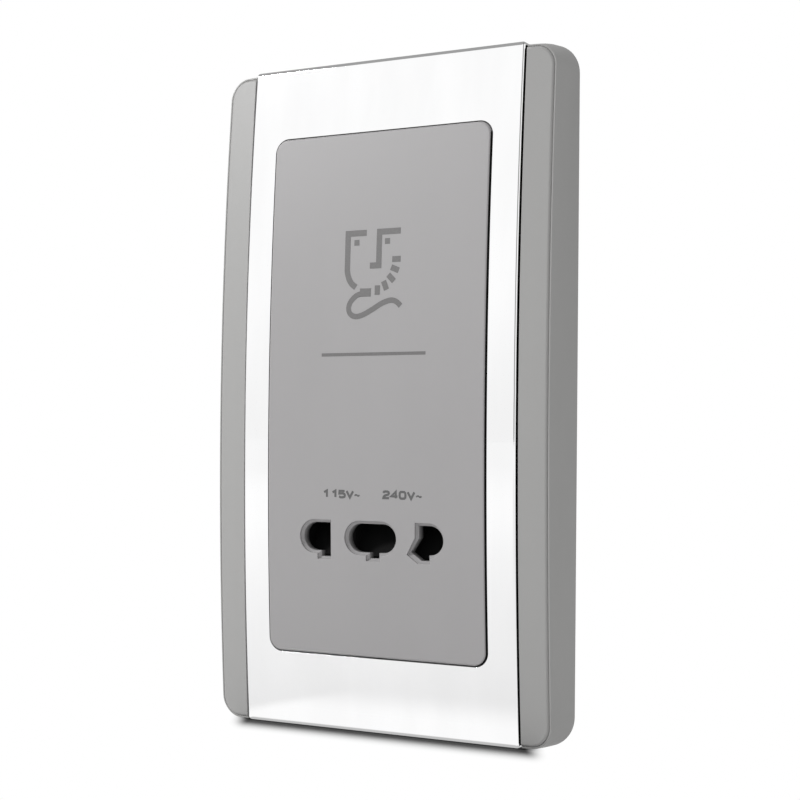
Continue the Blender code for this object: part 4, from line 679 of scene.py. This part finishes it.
def make_surround(finish, painted_gap_shade):
    """Moulded body with two wings, a bowed deck under the trim frame, ribs and bosses."""
    def crease(inset):
        rows = round_rows(CREASE_WIDTH - 2 * inset, CREASE_HEIGHT - 2 * inset,
                          CREASE_CORNER - inset, CREASE_BULGE)
        return [(low, high, z - CREASE_DROP) for low, high, z in rows]

    layers = [(crease(inset), wing_face(depth)) for inset, depth in easing(CREASE_ROUND)[:-1]]
    layers += [(crease(-out), wing_face(depth)) for out, depth in BEAD]
    edge = crease(-BEAD[-1][0])
    wall = round_rows(PLATE_WIDTH, PLATE_HEIGHT, PLATE_CORNER)
    for share in WALL_SHARES:
        swell = 1 - (1 - share) ** 2
        layers.append(([tuple(a + (b - a) * swell for a, b in zip(one, two))
                        for one, two in zip(edge, wall)], side_wall(share)))
    body = slab("surround_shell", layers)

    left, right = (TRIM_WIDTH / 2 + groove for groove in TRIM_GROOVES)
    channel = max(left, right)
    channel_floor = TRIM_FLANGE + SEAT
    past = PLATE_HEIGHT / 2 + OVER
    cutter = [(block_rows(-left - grow, right + grow, -past, past, FINE_ROWS), y_at)
              for grow, y_at in ([(WING_EDGE, wing_face(-2 * OVER))]
                                 + [(grow, wing_face(depth)) for grow, depth in easing(WING_EDGE)]
                                 + [(0.0, bowed(channel_floor))])]
    inner_wall = coarse(PLATE_WIDTH - 2 * WALL, PLATE_HEIGHT - 2 * WALL, PLATE_CORNER - WALL)
    inner_front = coarse(CREASE_WIDTH - 2 * WALL, CREASE_HEIGHT - 2 * WALL, CREASE_CORNER - WALL)
    hollows = [slab("channel", cutter),
               slab("hollow", [(inner_front, bowed(channel_floor + DECK)),
                               (inner_wall, level(OVER))])]
    pocket_end = PLATE_HEIGHT / 2 - PLATE_CORNER - WALL
    for side in (-1, 1):
        span = sorted((side * (channel + DECK), side * (CREASE_WIDTH / 2 - WALL - SEAT)))
        rows = block_rows(*span, -pocket_end, pocket_end)
        hollows.append(slab("wing_hollow", [(rows, wing_face(WALL)),
                                            (rows, bowed(channel_floor + DECK + OVER / 4))]))
    cut(body, *hollows)

    deck_front = TRIM_SKIN + SEAT
    width = TRIM_WIDTH - 2 * deck_front
    height = PLATE_HEIGHT - 2 * deck_front
    deck = coarse(width, height, TRIM_CORNER)
    under_deck = coarse(width - 2 * DECK, height - 2 * DECK, TRIM_CORNER)
    join(body, slab("deck", [(deck, bowed(deck_front)), (deck, bowed(channel_floor + BITE))]))
    cut(body, slab("deck_hollow", [(under_deck, bowed(deck_front + DECK)),
                                   (under_deck, bowed(channel_floor + DECK + OVER))]))

    collar_width = DECK_WIDTH + 2 * COLLAR_RIB
    collar = coarse(collar_width, DECK_HEIGHT + 2 * COLLAR_RIB, OPENING_CORNER + COLLAR_RIB)
    added = [slab("collar", [(collar, bowed(deck_front + DECK - BITE)),
                             (collar, level(FLANGE_FRONT_Y - SEAT))])]
    holes = []
    for side in (-1, 1):
        centre = (0, side * FIXING_Z)
        added.append(cylinder("fixing_boss", centre, FIXING_BOSS,
                              bowed(deck_front + DECK - BITE)(centre[1] + side * FIXING_BOSS), 0))
        inner_edge = side * (collar_width / 2 - BITE)
        front_span = sorted((inner_edge, side * CREASE_WIDTH / 2))
        back_span = sorted((inner_edge, side * (PLATE_WIDTH / 2 - WALL)))
        for index in range(RIB_COUNT):
            z = (index - (RIB_COUNT - 1) / 2) * RIB_SPACING
            front, back = (block_rows(*span, z - RIB / 2, z + RIB / 2, 1)
                           for span in (front_span, back_span))
            added.append(slab("rib", [(front, bowed(channel_floor + BITE)),
                                      (back, level(FLANGE_FRONT_Y - 2 * SEAT))]))
        holes.append(cylinder("counterbore", centre, FIXING_HEAD + SEAT, bowed(-OVER)(0),
                              FIXING_SEAT_Y))
        half = FIXING_RADIUS + SEAT
        holes.append(prism("fixing_slot", arc(-FIXING_SLOT / 2, centre[1], half, 90, 270)
                           + arc(FIXING_SLOT / 2, centre[1], half, -90, 90),
                           FIXING_SEAT_Y - OVER, OVER))
    join(body, *added)
    opening = coarse(DECK_WIDTH, DECK_HEIGHT, OPENING_CORNER)
    holes.append(slab("opening", [(opening, bowed(-OVER)), (opening, level(OVER))]))
    for side, x, z in tab_places():
        span = sorted((x - side * (TRIM_SKIN - TAB_INSET + SEAT), x - side * (TAB_INSET - SEAT)))
        holes.append(box("tab_slot", span,
                         (bowed(TRIM_FLANGE)(z), bowed(channel_floor + DECK + OVER)(z)),
                         (z - TAB_LENGTH / 2 - SEAT, z + TAB_LENGTH / 2 + SEAT)))
    cut(body, *holes)
    lean(body)
    polish(body)
    show(body, finish, "socket", "grey_body", "surround")
    # Painted shade on the walls of the right-hand groove beside the trim
    return shade(body, painted_gap_shade, lambda at, out: 0 < at.x < channel + WING_EDGE / 2
                 and at.y < -DECK and abs(out.x) > SIDEWAYS)


def make_trim_frame(finish):
    """Bright bowed shell with rounded edges, a flange all round and snap tabs."""
    outer = round_rows(TRIM_WIDTH, PLATE_HEIGHT, TRIM_CORNER)
    layers = [(round_rows(TRIM_WIDTH - 2 * setback(TRIM_ROUND, depth),
                          PLATE_HEIGHT - 2 * inset,
                          max(TRIM_CORNER - inset, LEAST_TRIM_CORNER)), bowed(depth))
              for inset, depth in easing(TRIM_END_ROUND)]
    frame_piece = slab("trim_shell", layers + [(outer, bowed(TRIM_FLANGE))])
    inner = coarse(TRIM_WIDTH - 2 * TRIM_SKIN, PLATE_HEIGHT - 2 * TRIM_SKIN, TRIM_CORNER / 2)
    steps = ([(TRIM_OPENING_EDGE, -OVER)] + easing(TRIM_OPENING_EDGE) + [(0.0, TRIM_FLANGE)])
    opening = [(round_rows(TRIM_OPENING_WIDTH + 2 * grow, TRIM_OPENING_HEIGHT + 2 * grow,
                           TRIM_OPENING_CORNER + grow), bowed(depth)) for grow, depth in steps]
    cut(frame_piece,
        slab("inside", [(inner, bowed(TRIM_SKIN)), (inner, bowed(TRIM_FLANGE + OVER))]),
        slab("opening", opening))
    tabs = []
    for side, x, z in tab_places():
        span = sorted((x - side * TAB_INSET, x - side * (TRIM_SKIN - TAB_INSET)))
        tabs.append(box("tab", span, (bowed(TRIM_FLANGE - BITE)(z),
                                      bowed(TRIM_FLANGE + TAB_DEPTH)(z)),
                        (z - TAB_LENGTH / 2, z + TAB_LENGTH / 2)))
    join(frame_piece, *tabs)
    return show(polish(frame_piece), finish, "socket", "bright_plating", "trim_frame")


def make_panel(finish, painted_gap_shade):
    """Bowed grey panel with a locating wall, rimmed pin openings, collars and bosses."""
    width = TRIM_OPENING_WIDTH - 2 * PANEL_GAP
    height = TRIM_OPENING_HEIGHT - 2 * PANEL_END_GAP
    corner = TRIM_OPENING_CORNER - PANEL_GAP
    layers = []
    for inset, depth in easing(PANEL_ROUND, PANEL_ROUND_DEPTH) + [(0.0, PANEL_LIP + PANEL_PROUD)]:
        rows = round_rows(width - 2 * inset, height - 2 * inset, corner - inset)
        layers.append(([(low + PANEL_OFF_CENTRE, high + PANEL_OFF_CENTRE, z + PANEL_RISE)
                        for low, high, z in rows], bowed(depth - PANEL_PROUD)))
    panel = slab("panel_shell", layers)
    skin_back = PANEL_SKIN - PANEL_PROUD
    step_width, step_height = DECK_WIDTH - 2 * SIDE_ROOM, DECK_HEIGHT - 2 * SIDE_ROOM
    step = coarse(step_width, step_height, OPENING_CORNER - SIDE_ROOM)
    hollow = coarse(step_width - 2 * LOCATING_WALL, step_height - 2 * LOCATING_WALL,
                    OPENING_CORNER / 2)
    join(panel, slab("locating_wall", [(step, bowed(PANEL_LIP - BITE)),
                                       (step, bowed(LOCATING_DEPTH))]))
    cut(panel, slab("panel_hollow", [(hollow, bowed(skin_back)),
                                     (hollow, bowed(LOCATING_DEPTH + OVER))]))
    added, holes = [], []
    for which in ("left", "centre", "right"):
        added.append(prism("collar", opening_outline(which, COLLAR_WALL),
                           bowed(skin_back - 2 * BITE)(NOTCH_LOW_Z), COLLAR_BACK_Y))
        ahead = bowed(-2 * OVER)(0)
        rings = [[(x, ahead, z) for x, z in opening_outline(which, PIN_EDGE)]]
        steps = easing(PIN_EDGE) + [(0.0, PIN_RIM_DEPTH), (-PIN_STEP, PIN_STEP_DEPTH)]
        for grow, depth in steps:
            rings.append([(x, bowed(depth - PANEL_PROUD)(z), z)
                          for x, z in opening_outline(which, grow)])
        rings.append([(x, COLLAR_BACK_Y + OVER, z)
                      for x, z in opening_outline(which, -PIN_STEP)])
        holes.append(loft("pin_opening", rings))
    for side in (-1, 1):
        for end in (-1, 1):
            root = bowed(skin_back - BITE)(end * (BOSS_Z + BOSS_RADIUS))
            added.append(cylinder("boss", (side * BOSS_X, end * BOSS_Z), BOSS_RADIUS, root,
                                  BOSS_ENDS[end], BOSS_STEPS))
    join(panel, *added)
    cut(panel, *holes)
    show(polish(panel), finish, "socket", "grey_panel", "socket_panel")
    lip_x, lip_z = width / 2 - PANEL_GAP, height / 2 - PANEL_GAP / 2
    # Painted shade on the panel's right side, its foot and the rounded corner between them
    return shade(panel, painted_gap_shade, lambda at, out: at.x > lip_x or at.z < -lip_z
                 or (at.x > lip_x - corner and at.z < corner - lip_z
                     and out.x > 0.1 and out.z < -0.1))


# Print on the panel

def on_panel(lift):
    return bowed(-PANEL_PROUD - lift)


def ribbon(bm, points, width):
    """A thin solid stroke of ink along (x, z) points, lying on the bowed panel."""
    line = [points[0]]
    for start, end in zip(points, points[1:]):
        count = max(1, math.ceil(math.dist(start, end) / LONGEST_RUN))
        line += [tuple(a + (b - a) * part / count for a, b in zip(start, end))
                 for part in range(1, count + 1)]
    runs = []
    for start, end in zip(line, line[1:]):
        runs.append(Vector((end[0] - start[0], end[1] - start[1])).normalized())
    rings = []
    for index, (x, z) in enumerate(line):
        before = runs[max(index - 1, 0)]
        after = runs[min(index, len(runs) - 1)]
        across = Vector((-before.y - after.y, before.x + after.x)).normalized()
        across *= width / 2 / max(across.dot(Vector((-after.y, after.x))), MITRE_LIMIT)
        sides = ((x + across.x, z + across.y), (x - across.x, z - across.y))
        rings.append([bm.verts.new((u, on_panel(lift)(v), v))
                      for lift, pair in ((INK_LIFT, sides), (-INK_DEPTH, sides[::-1]))
                      for u, v in pair])
    bridge(bm, rings)
    bm.faces.new(rings[0])
    bm.faces.new(rings[-1])


def mm(*points):
    return [(x * MM, z * MM) for x, z in points]


def make_symbol(finish):
    """The shaver symbol: brows, cheek, nose, eyes, shaver and its cord."""
    bm = bmesh.new()
    cheek = smooth_line(mm((-7.0, 26.6), (-6.85, 25.75), (-6.45, 24.65), (-5.78, 23.65),
                           (-4.75, 22.85)), 5)
    ribbon(bm, mm((-2.4, 34.6), (-7.03, 34.6)) + cheek, SYMBOL_STROKE)
    ribbon(bm, mm((5.98, 34.65), (0.8, 34.65), (0.8, 27.42), (-1.38, 27.42)), SYMBOL_STROKE)
    for x, z in mm((-4.78, 32.55), (2.8, 32.55)):
        half = SYMBOL_EYE / 2
        ribbon(bm, [(x, z + half), (x, z - half)], SYMBOL_EYE)
    ribbon(bm, mm((-3.68, 21.66), (-0.95, 21.62)), SHAVER_STROKE)
    cord = smooth_line(mm((-3.4, 21.4), (-4.65, 20.96), (-5.95, 19.75), (-6.42, 18.3),
                          (-5.9, 17.05), (-4.5, 16.5), (-2.6, 16.93), (-0.38, 18.01),
                          (1.9, 19.22), (3.9, 19.77), (5.3, 19.45), (6.4, 18.5)), 6)
    ribbon(bm, cord, CORD_STROKE)
    return show(new_piece("shaver_symbol", bm), finish, "socket", "grey_panel")


def make_beard(finish):
    """Five dashes set round the symbol's chin."""
    sizes = {"Count": 5, "Width": 0.00607, "Height": 0.00674, "Sweep": math.radians(75.0),
             "Dash": (0.00204, 0.00128, INK_LIFT + INK_DEPTH)}
    tree, given = growing_tree("dashes_on_arc", sizes)
    chin = tree.node("GeometryNodeCurveArc", {"mode": "RADIUS"}, {
        "Resolution": 48, "Radius": 1.0, "Start Angle": 0.0,
        "Sweep Angle": given["Sweep"] * -1.0})
    spread = tree.node("ShaderNodeCombineXYZ", inputs={0: given["Width"], 1: given["Height"],
                                                       2: 1.0})
    oval = tree.node("GeometryNodeTransform", inputs={"Geometry": chin, "Scale": spread})
    spaced = tree.node("GeometryNodeResampleCurve", inputs={"Curve": oval,
                                                            "Count": given["Count"]})
    share = tree.node("GeometryNodeInputIndex") / (given["Count"] - 1.0)
    facing = tree.node("ShaderNodeCombineXYZ", inputs={2: share * (-math.pi / 2)})
    dash = tree.node("GeometryNodeMeshCube", inputs={"Size": given["Dash"]})
    placed = tree.node("GeometryNodeInstanceOnPoints", inputs={
        "Points": spaced, "Instance": dash, "Rotation": facing})
    close_tree(tree, placed, finish)
    piece = grown("beard_dashes", tree, sizes)
    for vertex in piece.data.vertices:
        across, along, out = vertex.co
        x, z = CHIN_X + across, CHIN_Z + along
        vertex.co = (x, on_panel(INK_LIFT if out > 0 else -INK_DEPTH)(z), z)
    piece.data.flip_normals()
    return show(face_out(piece), finish, "socket", "grey_panel")


def growing_tree(name, sizes):
    """A Geometry Nodes tree with these sizes as named inputs, and their values inside it."""
    group = bpy.data.node_groups.new(name, "GeometryNodeTree")
    kinds = {int: "NodeSocketInt", float: "NodeSocketFloat", tuple: "NodeSocketVector"}
    for key, size in sizes.items():
        group.interface.new_socket(name=key, in_out="INPUT", socket_type=kinds[type(size)])
    group.interface.new_socket(name="Geometry", in_out="OUTPUT",
                               socket_type="NodeSocketGeometry")
    tree = Tree(group)
    return tree, {key: tree.node("NodeGroupInput", output=key) for key in sizes}


def close_tree(tree, shape, finish):
    solid = tree.node("GeometryNodeRealizeInstances", inputs={0: shape})
    covered = tree.node("GeometryNodeSetMaterial", inputs={"Geometry": solid,
                                                           "Material": finish})
    tree.node("NodeGroupOutput", inputs={0: covered})


def grown(name, tree, inputs):
    """A plain mesh grown by a Geometry Nodes tree with these inputs."""
    piece = in_scene(name, bpy.data.meshes.new(name))
    grower = piece.modifiers.new("grower", "NODES")
    grower.node_group = tree.nodes_of
    named = {item.name: item.identifier for item in tree.nodes_of.interface.items_tree
             if item.in_out == "INPUT"}
    for key, value in inputs.items():
        grower[named[key]] = value
    return settle(piece)


# Strokes of each figure, in shares of its width and height
GLYPHS = {
    "1": [(0.0, 0.74), (0.72, 1.0), (0.72, 0.0)],
    "5": [(0.95, 1.0), (0.08, 1.0), (0.04, 0.58), (0.68, 0.62), (0.95, 0.5), (1.0, 0.32),
          (0.94, 0.1), (0.66, 0.0), (0.24, 0.0), (0.0, 0.14)],
    "2": [(0.02, 0.78), (0.1, 0.96), (0.32, 1.02), (0.72, 1.02), (0.95, 0.92), (1.0, 0.74),
          (0.88, 0.56), (0.3, 0.4), (0.06, 0.22), (0.0, 0.0), (1.02, 0.0)],
    "4": [(0.76, 0.0), (0.76, 1.0), (0.0, 0.3), (1.05, 0.3)],
    "0": [(0.5, 1.02), (0.8, 1.0), (0.97, 0.84), (1.0, 0.5), (0.97, 0.16), (0.8, 0.0),
          (0.5, -0.02), (0.2, 0.0), (0.03, 0.16), (0.0, 0.5), (0.03, 0.84), (0.2, 1.0),
          (0.5, 1.02)],
    "V": [(0.0, 1.0), (0.5, 0.0), (1.0, 1.0)],
    "~": [(0.0, 0.3), (0.2, 0.44), (0.4, 0.44), (0.62, 0.3), (0.82, 0.28), (1.0, 0.42)],
}


def make_figures(name, finish, foot_z, glyphs):
    """Voltage figures above a pin opening, drawn as strokes of one width."""
    bm = bmesh.new()
    for glyph, start, width in glyphs:
        stroke = FIGURE_STROKE * (TILDE_SHARE if glyph == "~" else 1.0)
        points = [((start + x * width) * MM, foot_z * MM + z * FIGURE_HEIGHT)
                  for x, z in GLYPHS[glyph]]
        ribbon(bm, points, stroke)
    return show(new_piece(name, bm), finish, "socket", "grey_panel")


def make_bar(finish):
    """A plain printed line across the panel."""
    bm = bmesh.new()
    ribbon(bm, mm((-13.0, 8.35), (12.6, 8.35)), BAR_STROKE)
    return show(new_piece("plain_bar", bm), finish, "socket", "grey_panel")


# Fixings

def thread_tree(finish):
    """A helical ridge round Z, with its sizes as inputs."""
    tree, given = growing_tree("thread", dict.fromkeys(("Radius", "Length", "Turns", "Ridge"),
                                                       0.0))
    helix = tree.node("GeometryNodeCurveSpiral", inputs={
        "Resolution": 28, "Rotations": given["Turns"], "Start Radius": given["Radius"],
        "End Radius": given["Radius"], "Height": given["Length"]})
    ridge = tree.node("GeometryNodeCurvePrimitiveCircle", {"mode": "RADIUS"}, {
        "Resolution": 4, "Radius": given["Ridge"]})
    swept = tree.node("GeometryNodeCurveToMesh", inputs={"Curve": helix, "Profile Curve": ridge,
                                                         "Fill Caps": True})
    close_tree(tree, swept, finish)
    return tree


def make_screw(node, thread, finish, slot, head_side, shank, head_height, pitch):
    """A slotted pan-head screw in the place of its CAD node, with a real thread."""
    low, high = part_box(node)
    centre = ((low.x + high.x) / 2, (low.z + high.z) / 2)
    head = (high.x - low.x) / 2
    top, tip = (low.y, high.y) if head_side < 0 else (high.y, low.y)
    inward = -head_side
    seat = top + inward * head_height
    profile = [(0, top)]
    for step in range(1, DOME_STEPS + 1):
        turn = math.pi / 2 * step / DOME_STEPS
        profile.append((head * math.sin(turn), top + inward * head_height * HEAD_DOME
                        * (1 - math.cos(turn))))
    profile += [(head, seat), (shank, seat), (shank, tip - inward * shank),
                (shank * SHANK_TIP, tip), (0, tip)]
    made = turned(f"{node}_body", centre, profile)
    floor = top + inward * head_height * HEAD_SLOT_DEPTH
    slot_y = sorted((floor, top - inward * OVER))
    reach, half = head * HEAD_SLOT_REACH, head * HEAD_SLOT_HALF_WIDTH
    cut(made, box("slot", (centre[0] - reach, centre[0] + reach), slot_y,
                  (centre[1] - half, centre[1] + half)))
    length = abs(tip - seat) - shank * THREAD_SHORT
    ridge = grown("ridge", thread, {"Radius": shank, "Length": length,
                                    "Turns": length / pitch, "Ridge": pitch * RIDGE})
    turn = Matrix.Rotation(math.radians(90.0), 4, "X")
    start = seat + inward * shank * THREAD_START
    low_y = min(start, start + inward * length)
    ridge.data.transform(Matrix.Translation((centre[0], low_y + length, centre[1])) @ turn)
    face_out(ridge)
    polish(merge(made, ridge), 40.0)
    return show(made, finish, "socket", slot, node)


# Carried-over pieces

def dress(node, finish):
    """Gives a CAD piece that stays its finish."""
    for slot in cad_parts[node].material_slots:
        slot.material = finish


def smooth_copy(node, finish, body, slot, angle=SHARP_ANGLE):
    """The CAD piece's own shape with merged corners and smooth shading."""
    piece = in_scene(f"{node}_smooth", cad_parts[node].data.copy())
    return show(polish(weld(piece, CAD_WELD), angle), finish, body, slot, node)


# Stage

def make_floor():
    """White floor with a painted contact shadow under the plate; where the trim mirrors it, a
    painted reflection makes it dimmer.
    """
    mesh = bpy.data.meshes.new("floor")
    mesh.from_pydata([(x * FLOOR_REACH, y * FLOOR_REACH, -PLATE_HEIGHT / 2 - FLOOR_GAP)
                      for x, y in ((-1, -1), (1, -1), (1, 1), (-1, 1))], [], [(0, 1, 2, 3)])
    floor = in_scene("floor", mesh)
    made = Finish("pale_floor", 0.9, 0.0, 0.0)
    across, along = (made.node("ShaderNodeSeparateXYZ", inputs={0: made.place}, output=axis)
                     for axis in (0, 1))
    front = along + SHADOW_FRONT
    aside = (across + front * SHADOW_SLANT - SHADOW_SHIFT).math("ABSOLUTE")
    beside = (aside - SHADOW_HALF_WIDTH).math("MAXIMUM", 0.0)
    ahead = (front * -1.0).math("MAXIMUM", 0.0)
    behind = (front - SHADOW_DEPTH).math("MAXIMUM", 0.0)
    away = (beside * beside * SHADOW_SIDE_FADE + ahead * ahead + behind * behind).math("SQRT")
    clear = away.smooth(0.0, SHADOW_FADE)
    # Painted shadow: the floor's colour darkens towards the plate's foot
    made.set("Base Color", made.blend(clear, SHADOW_TONE, FLOOR_TONE))
    seen = made.node("ShaderNodeLightPath", output="Is Camera Ray")
    mirrored = made.node("ShaderNodeLightPath", output="Is Glossy Ray")
    glow = made.node("ShaderNodeEmission", inputs={"Color": (1, 1, 1, 1), "Strength": 1.0})
    # Painted reflection: in the trim the floor is mirrored as a glow, dimmer from a little way
    # out, and bright again far off
    touching = away.smooth(-0.001, 0.001)
    near = away.smooth(0.01, 0.03)
    far = away.smooth(0.15, 1.5) * 0.86
    sheen = touching - (near - far) * 0.5
    shown = seen * clear + mirrored * sheen
    mixed = made.node("ShaderNodeMixShader", inputs={
        0: shown, 1: Value(made, made.shader.outputs[0]), 2: glow})
    made.feed(made.nodes_of.nodes["Material Output"].inputs["Surface"], mixed)
    mesh.materials.append(made.material)


def make_world():
    """White to the camera, and an even studio with a few dimmer parts in the bright trim."""
    world = bpy.data.worlds.new("studio")
    bpy.context.scene.world = world
    world.use_nodes = True
    tree = Tree(world.node_tree)
    background = world.node_tree.nodes["Background"]
    seen = tree.node("ShaderNodeLightPath", output="Is Camera Ray")
    mirrored = tree.node("ShaderNodeLightPath", output="Is Glossy Ray")
    through = tree.node("ShaderNodeLightPath", output="Is Transmission Ray")
    direction = tree.node("ShaderNodeTexCoord", output="Generated")
    x, y, z = (tree.node("ShaderNodeSeparateXYZ", inputs={0: direction}, output=axis)
               for axis in range(3))
    # What gloss mirrors is dimmer overhead, at a screen to the right, behind the wall plane
    # and, a little, below the horizon
    azimuth = x.math("ARCTAN2", y * -1.0)
    roof = z.smooth(0.46, 0.62) * 0.65
    screen = azimuth.smooth(0.15, 0.35) - azimuth.smooth(0.8, 1.0)
    behind = y.smooth(0.1, 0.5) * 0.62
    haze = z.smooth(0.0, 0.15) * 0.07 + 0.93
    mirror = (1.0 - roof.math("MAXIMUM", behind)) * (1.0 - screen * 0.7) * haze
    plain = seen.math("MAXIMUM", through)
    strength = plain + mirrored * mirror
    dim = 1.0 - plain.math("MAXIMUM", mirrored)
    tree.feed(background.inputs["Color"], (1.0, 1.0, 1.0, 1.0))
    tree.feed(background.inputs["Strength"], strength + dim * 0.54)


def make_lamp(name, place, target, size, energy, glossy=True):
    lamp = bpy.data.lights.new(name, "AREA")
    lamp.shape = "RECTANGLE"
    lamp.size, lamp.size_y = size
    lamp.energy = energy
    holder = in_scene(name, lamp)
    holder.location = place
    holder.rotation_mode = "QUATERNION"
    holder.rotation_quaternion = (Vector(target) - Vector(place)).to_track_quat("-Z", "Y")
    holder.visible_glossy = glossy


def make_camera():
    yaw, pitch, roll = (math.radians(a) for a in (CAMERA_YAW, CAMERA_PITCH, CAMERA_ROLL))
    back = Vector((math.sin(yaw) * math.cos(pitch), -math.cos(yaw) * math.cos(pitch),
                   math.sin(pitch)))
    right = Vector((math.cos(yaw), math.sin(yaw), 0.0))
    up = back.cross(right)
    across = right * math.cos(roll) + up * math.sin(roll)
    upward = up * math.cos(roll) - right * math.sin(roll)
    place = CAMERA_TARGET + back * CAMERA_DISTANCE
    lens = bpy.data.cameras.new("camera")
    lens.lens = CAMERA_LENS
    lens.clip_start = 0.01
    camera = in_scene("camera", lens)
    camera.matrix_world = Matrix([[across[i], upward[i], back[i], place[i]] for i in range(3)]
                                 + [[0.0, 0.0, 0.0, 1.0]])
    bpy.context.scene.camera = camera


# The whole socket

def make_socket():
    body_grey = moulded("satin_grey", (0.385, 0.383, 0.378), 0.42, tone=0.02)
    # The panel's pin openings get painted shade, darker the deeper they lie behind its face
    panel_grey = moulded("panel_grey", (0.374, 0.366, 0.37), 0.46, 0.00014, tone=0.025,
                         face=(TRIM_END_RISE + PANEL_PROUD, TRIM_BOW))
    symbol_ink = printed("symbol_ink", (0.155, 0.152, 0.152))
    figure_ink = printed("figure_ink", (0.11, 0.11, 0.11))
    # Black used as painted shade in the right-hand groove and in the gap round the panel
    groove_shade = moulded("groove_shade", PAINTED_SHADE_BLACK, 0.8, specular=0.1)
    make_surround(body_grey, groove_shade)
    make_trim_frame(bright("bright_trim", (0.985, 0.985, 0.988), 0.04))
    make_panel(panel_grey, groove_shade)
    make_symbol(symbol_ink)
    make_beard(symbol_ink)
    make_bar(symbol_ink)
    make_figures("figures_115", figure_ink, -22.5,
                 (("1", -12.1, 1.0), ("1", -9.95, 1.0), ("5", -8.3, 1.45), ("V", -6.4, 1.6),
                  ("~", -4.4, 1.2)))
    make_figures("figures_240", figure_ink, -22.4,
                 (("2", 2.7, 1.35), ("4", 4.6, 1.45), ("0", 6.65, 1.4), ("V", 8.6, 1.6),
                  ("~", 10.65, 1.25)))

    steel = bright("zinc_steel", (0.66, 0.66, 0.64), 0.28, 0.25)
    brass = bright("clamp_brass", (0.72, 0.55, 0.27), 0.3, 0.2)
    bronze = bright("contact_bronze", (0.7, 0.47, 0.24), 0.3, 0.25)
    thread = thread_tree(steel)
    for node in ("fixing_screw_upper", "fixing_screw_lower"):
        make_screw(node, thread, steel, "screw_steel", *SCREWS["fixing"])
    for number in range(1, 5):
        make_screw(f"housing_screw_{number}", thread, steel, "screw_steel", *SCREWS["housing"])
        make_screw(f"core_screw_{number}", thread, steel, "screw_steel", *SCREWS["core"])
    for name in ("live", "neutral", "earth"):
        make_screw(f"{name}_screw", thread, brass, "clamp_brass", *SCREWS["clamp"])
        smooth_copy(f"{name}_clamp", brass, "socket", "clamp_brass", 25.0)

    black = moulded("housing_black", (0.035, 0.035, 0.037), 0.5, 0.0003, 0.000012, 0.1)
    slide = moulded("slide_black", (0.008, 0.008, 0.008), 0.7, specular=0.1)
    cream = moulded("insulator_cream", (0.62, 0.58, 0.48), 0.5)
    pale = moulded("block_white", (0.68, 0.67, 0.63), 0.42)
    smooth_copy("rear_housing", black, "socket", "dark_housing")
    smooth_copy("terminal_block", pale, "socket", "block_insulator")
    smooth_copy("contact_carrier", cream, "socket", "cream_insulator")
    smooth_copy("shutter", slide, "shutter", "black_slide")
    dress("bobbin", moulded("bobbin_nylon", (0.66, 0.62, 0.52), 0.5))
    dress("switch_body", slide)
    dress("switch_plunger", moulded("plunger_red", (0.42, 0.03, 0.025), 0.4))
    dress("thermal_cutout", slide)
    for node in ("contact_115", "contact_common", "contact_240"):
        dress(node, bronze)
    for node in ("shutter_spring_left", "shutter_spring_right"):
        spring = smooth_copy(node, steel, "socket", "spring_steel")
        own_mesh(spring)
    sheets = layered("lamination", (0.34, 0.35, 0.37), (0.1, 0.1, 0.11), 0.0005, "Y", 0.4, 0.9)
    for node in ("e_core", "i_core"):
        dress(node, sheets)
    turns = layered("enamelled_copper", (0.62, 0.27, 0.1), (0.22, 0.07, 0.025), 0.0004, "Z",
                    0.3, 0.75)
    for node in ("primary_winding", "secondary_winding"):
        smooth_copy(node, turns, "socket", "copper_winding")
    amber, brown = (0.62, 0.33, 0.06), (0.2, 0.07, 0.03)
    for node, colour, slot in (("lead_115", amber, "sleeve_amber"),
                               ("lead_common", amber, "sleeve_amber"),
                               ("lead_240", amber, "sleeve_amber"),
                               ("lead_live", brown, "sleeve_brown"),
                               ("lead_switched", brown, "sleeve_brown"),
                               ("lead_neutral", (0.02, 0.07, 0.35), "sleeve_blue"),
                               ("lead_earth", (0.12, 0.34, 0.04), "sleeve_green")):
        smooth_copy(node, moulded(f"{node}_sleeve", colour, 0.45), "socket", slot, 60.0)


make_camera()
make_world()
make_floor()
make_lamp("key", place=(-0.60, -0.62, 0.50), target=(0, 0, 0), size=(0.18, 0.18), energy=5.0)
make_lamp("roof", place=(0.0, 0.13, 0.75), target=(0, -0.02, -0.07), size=(0.4, 0.3),
          energy=1.1, glossy=False)
make_socket()
bpy.context.scene.view_settings.view_transform = "Standard"
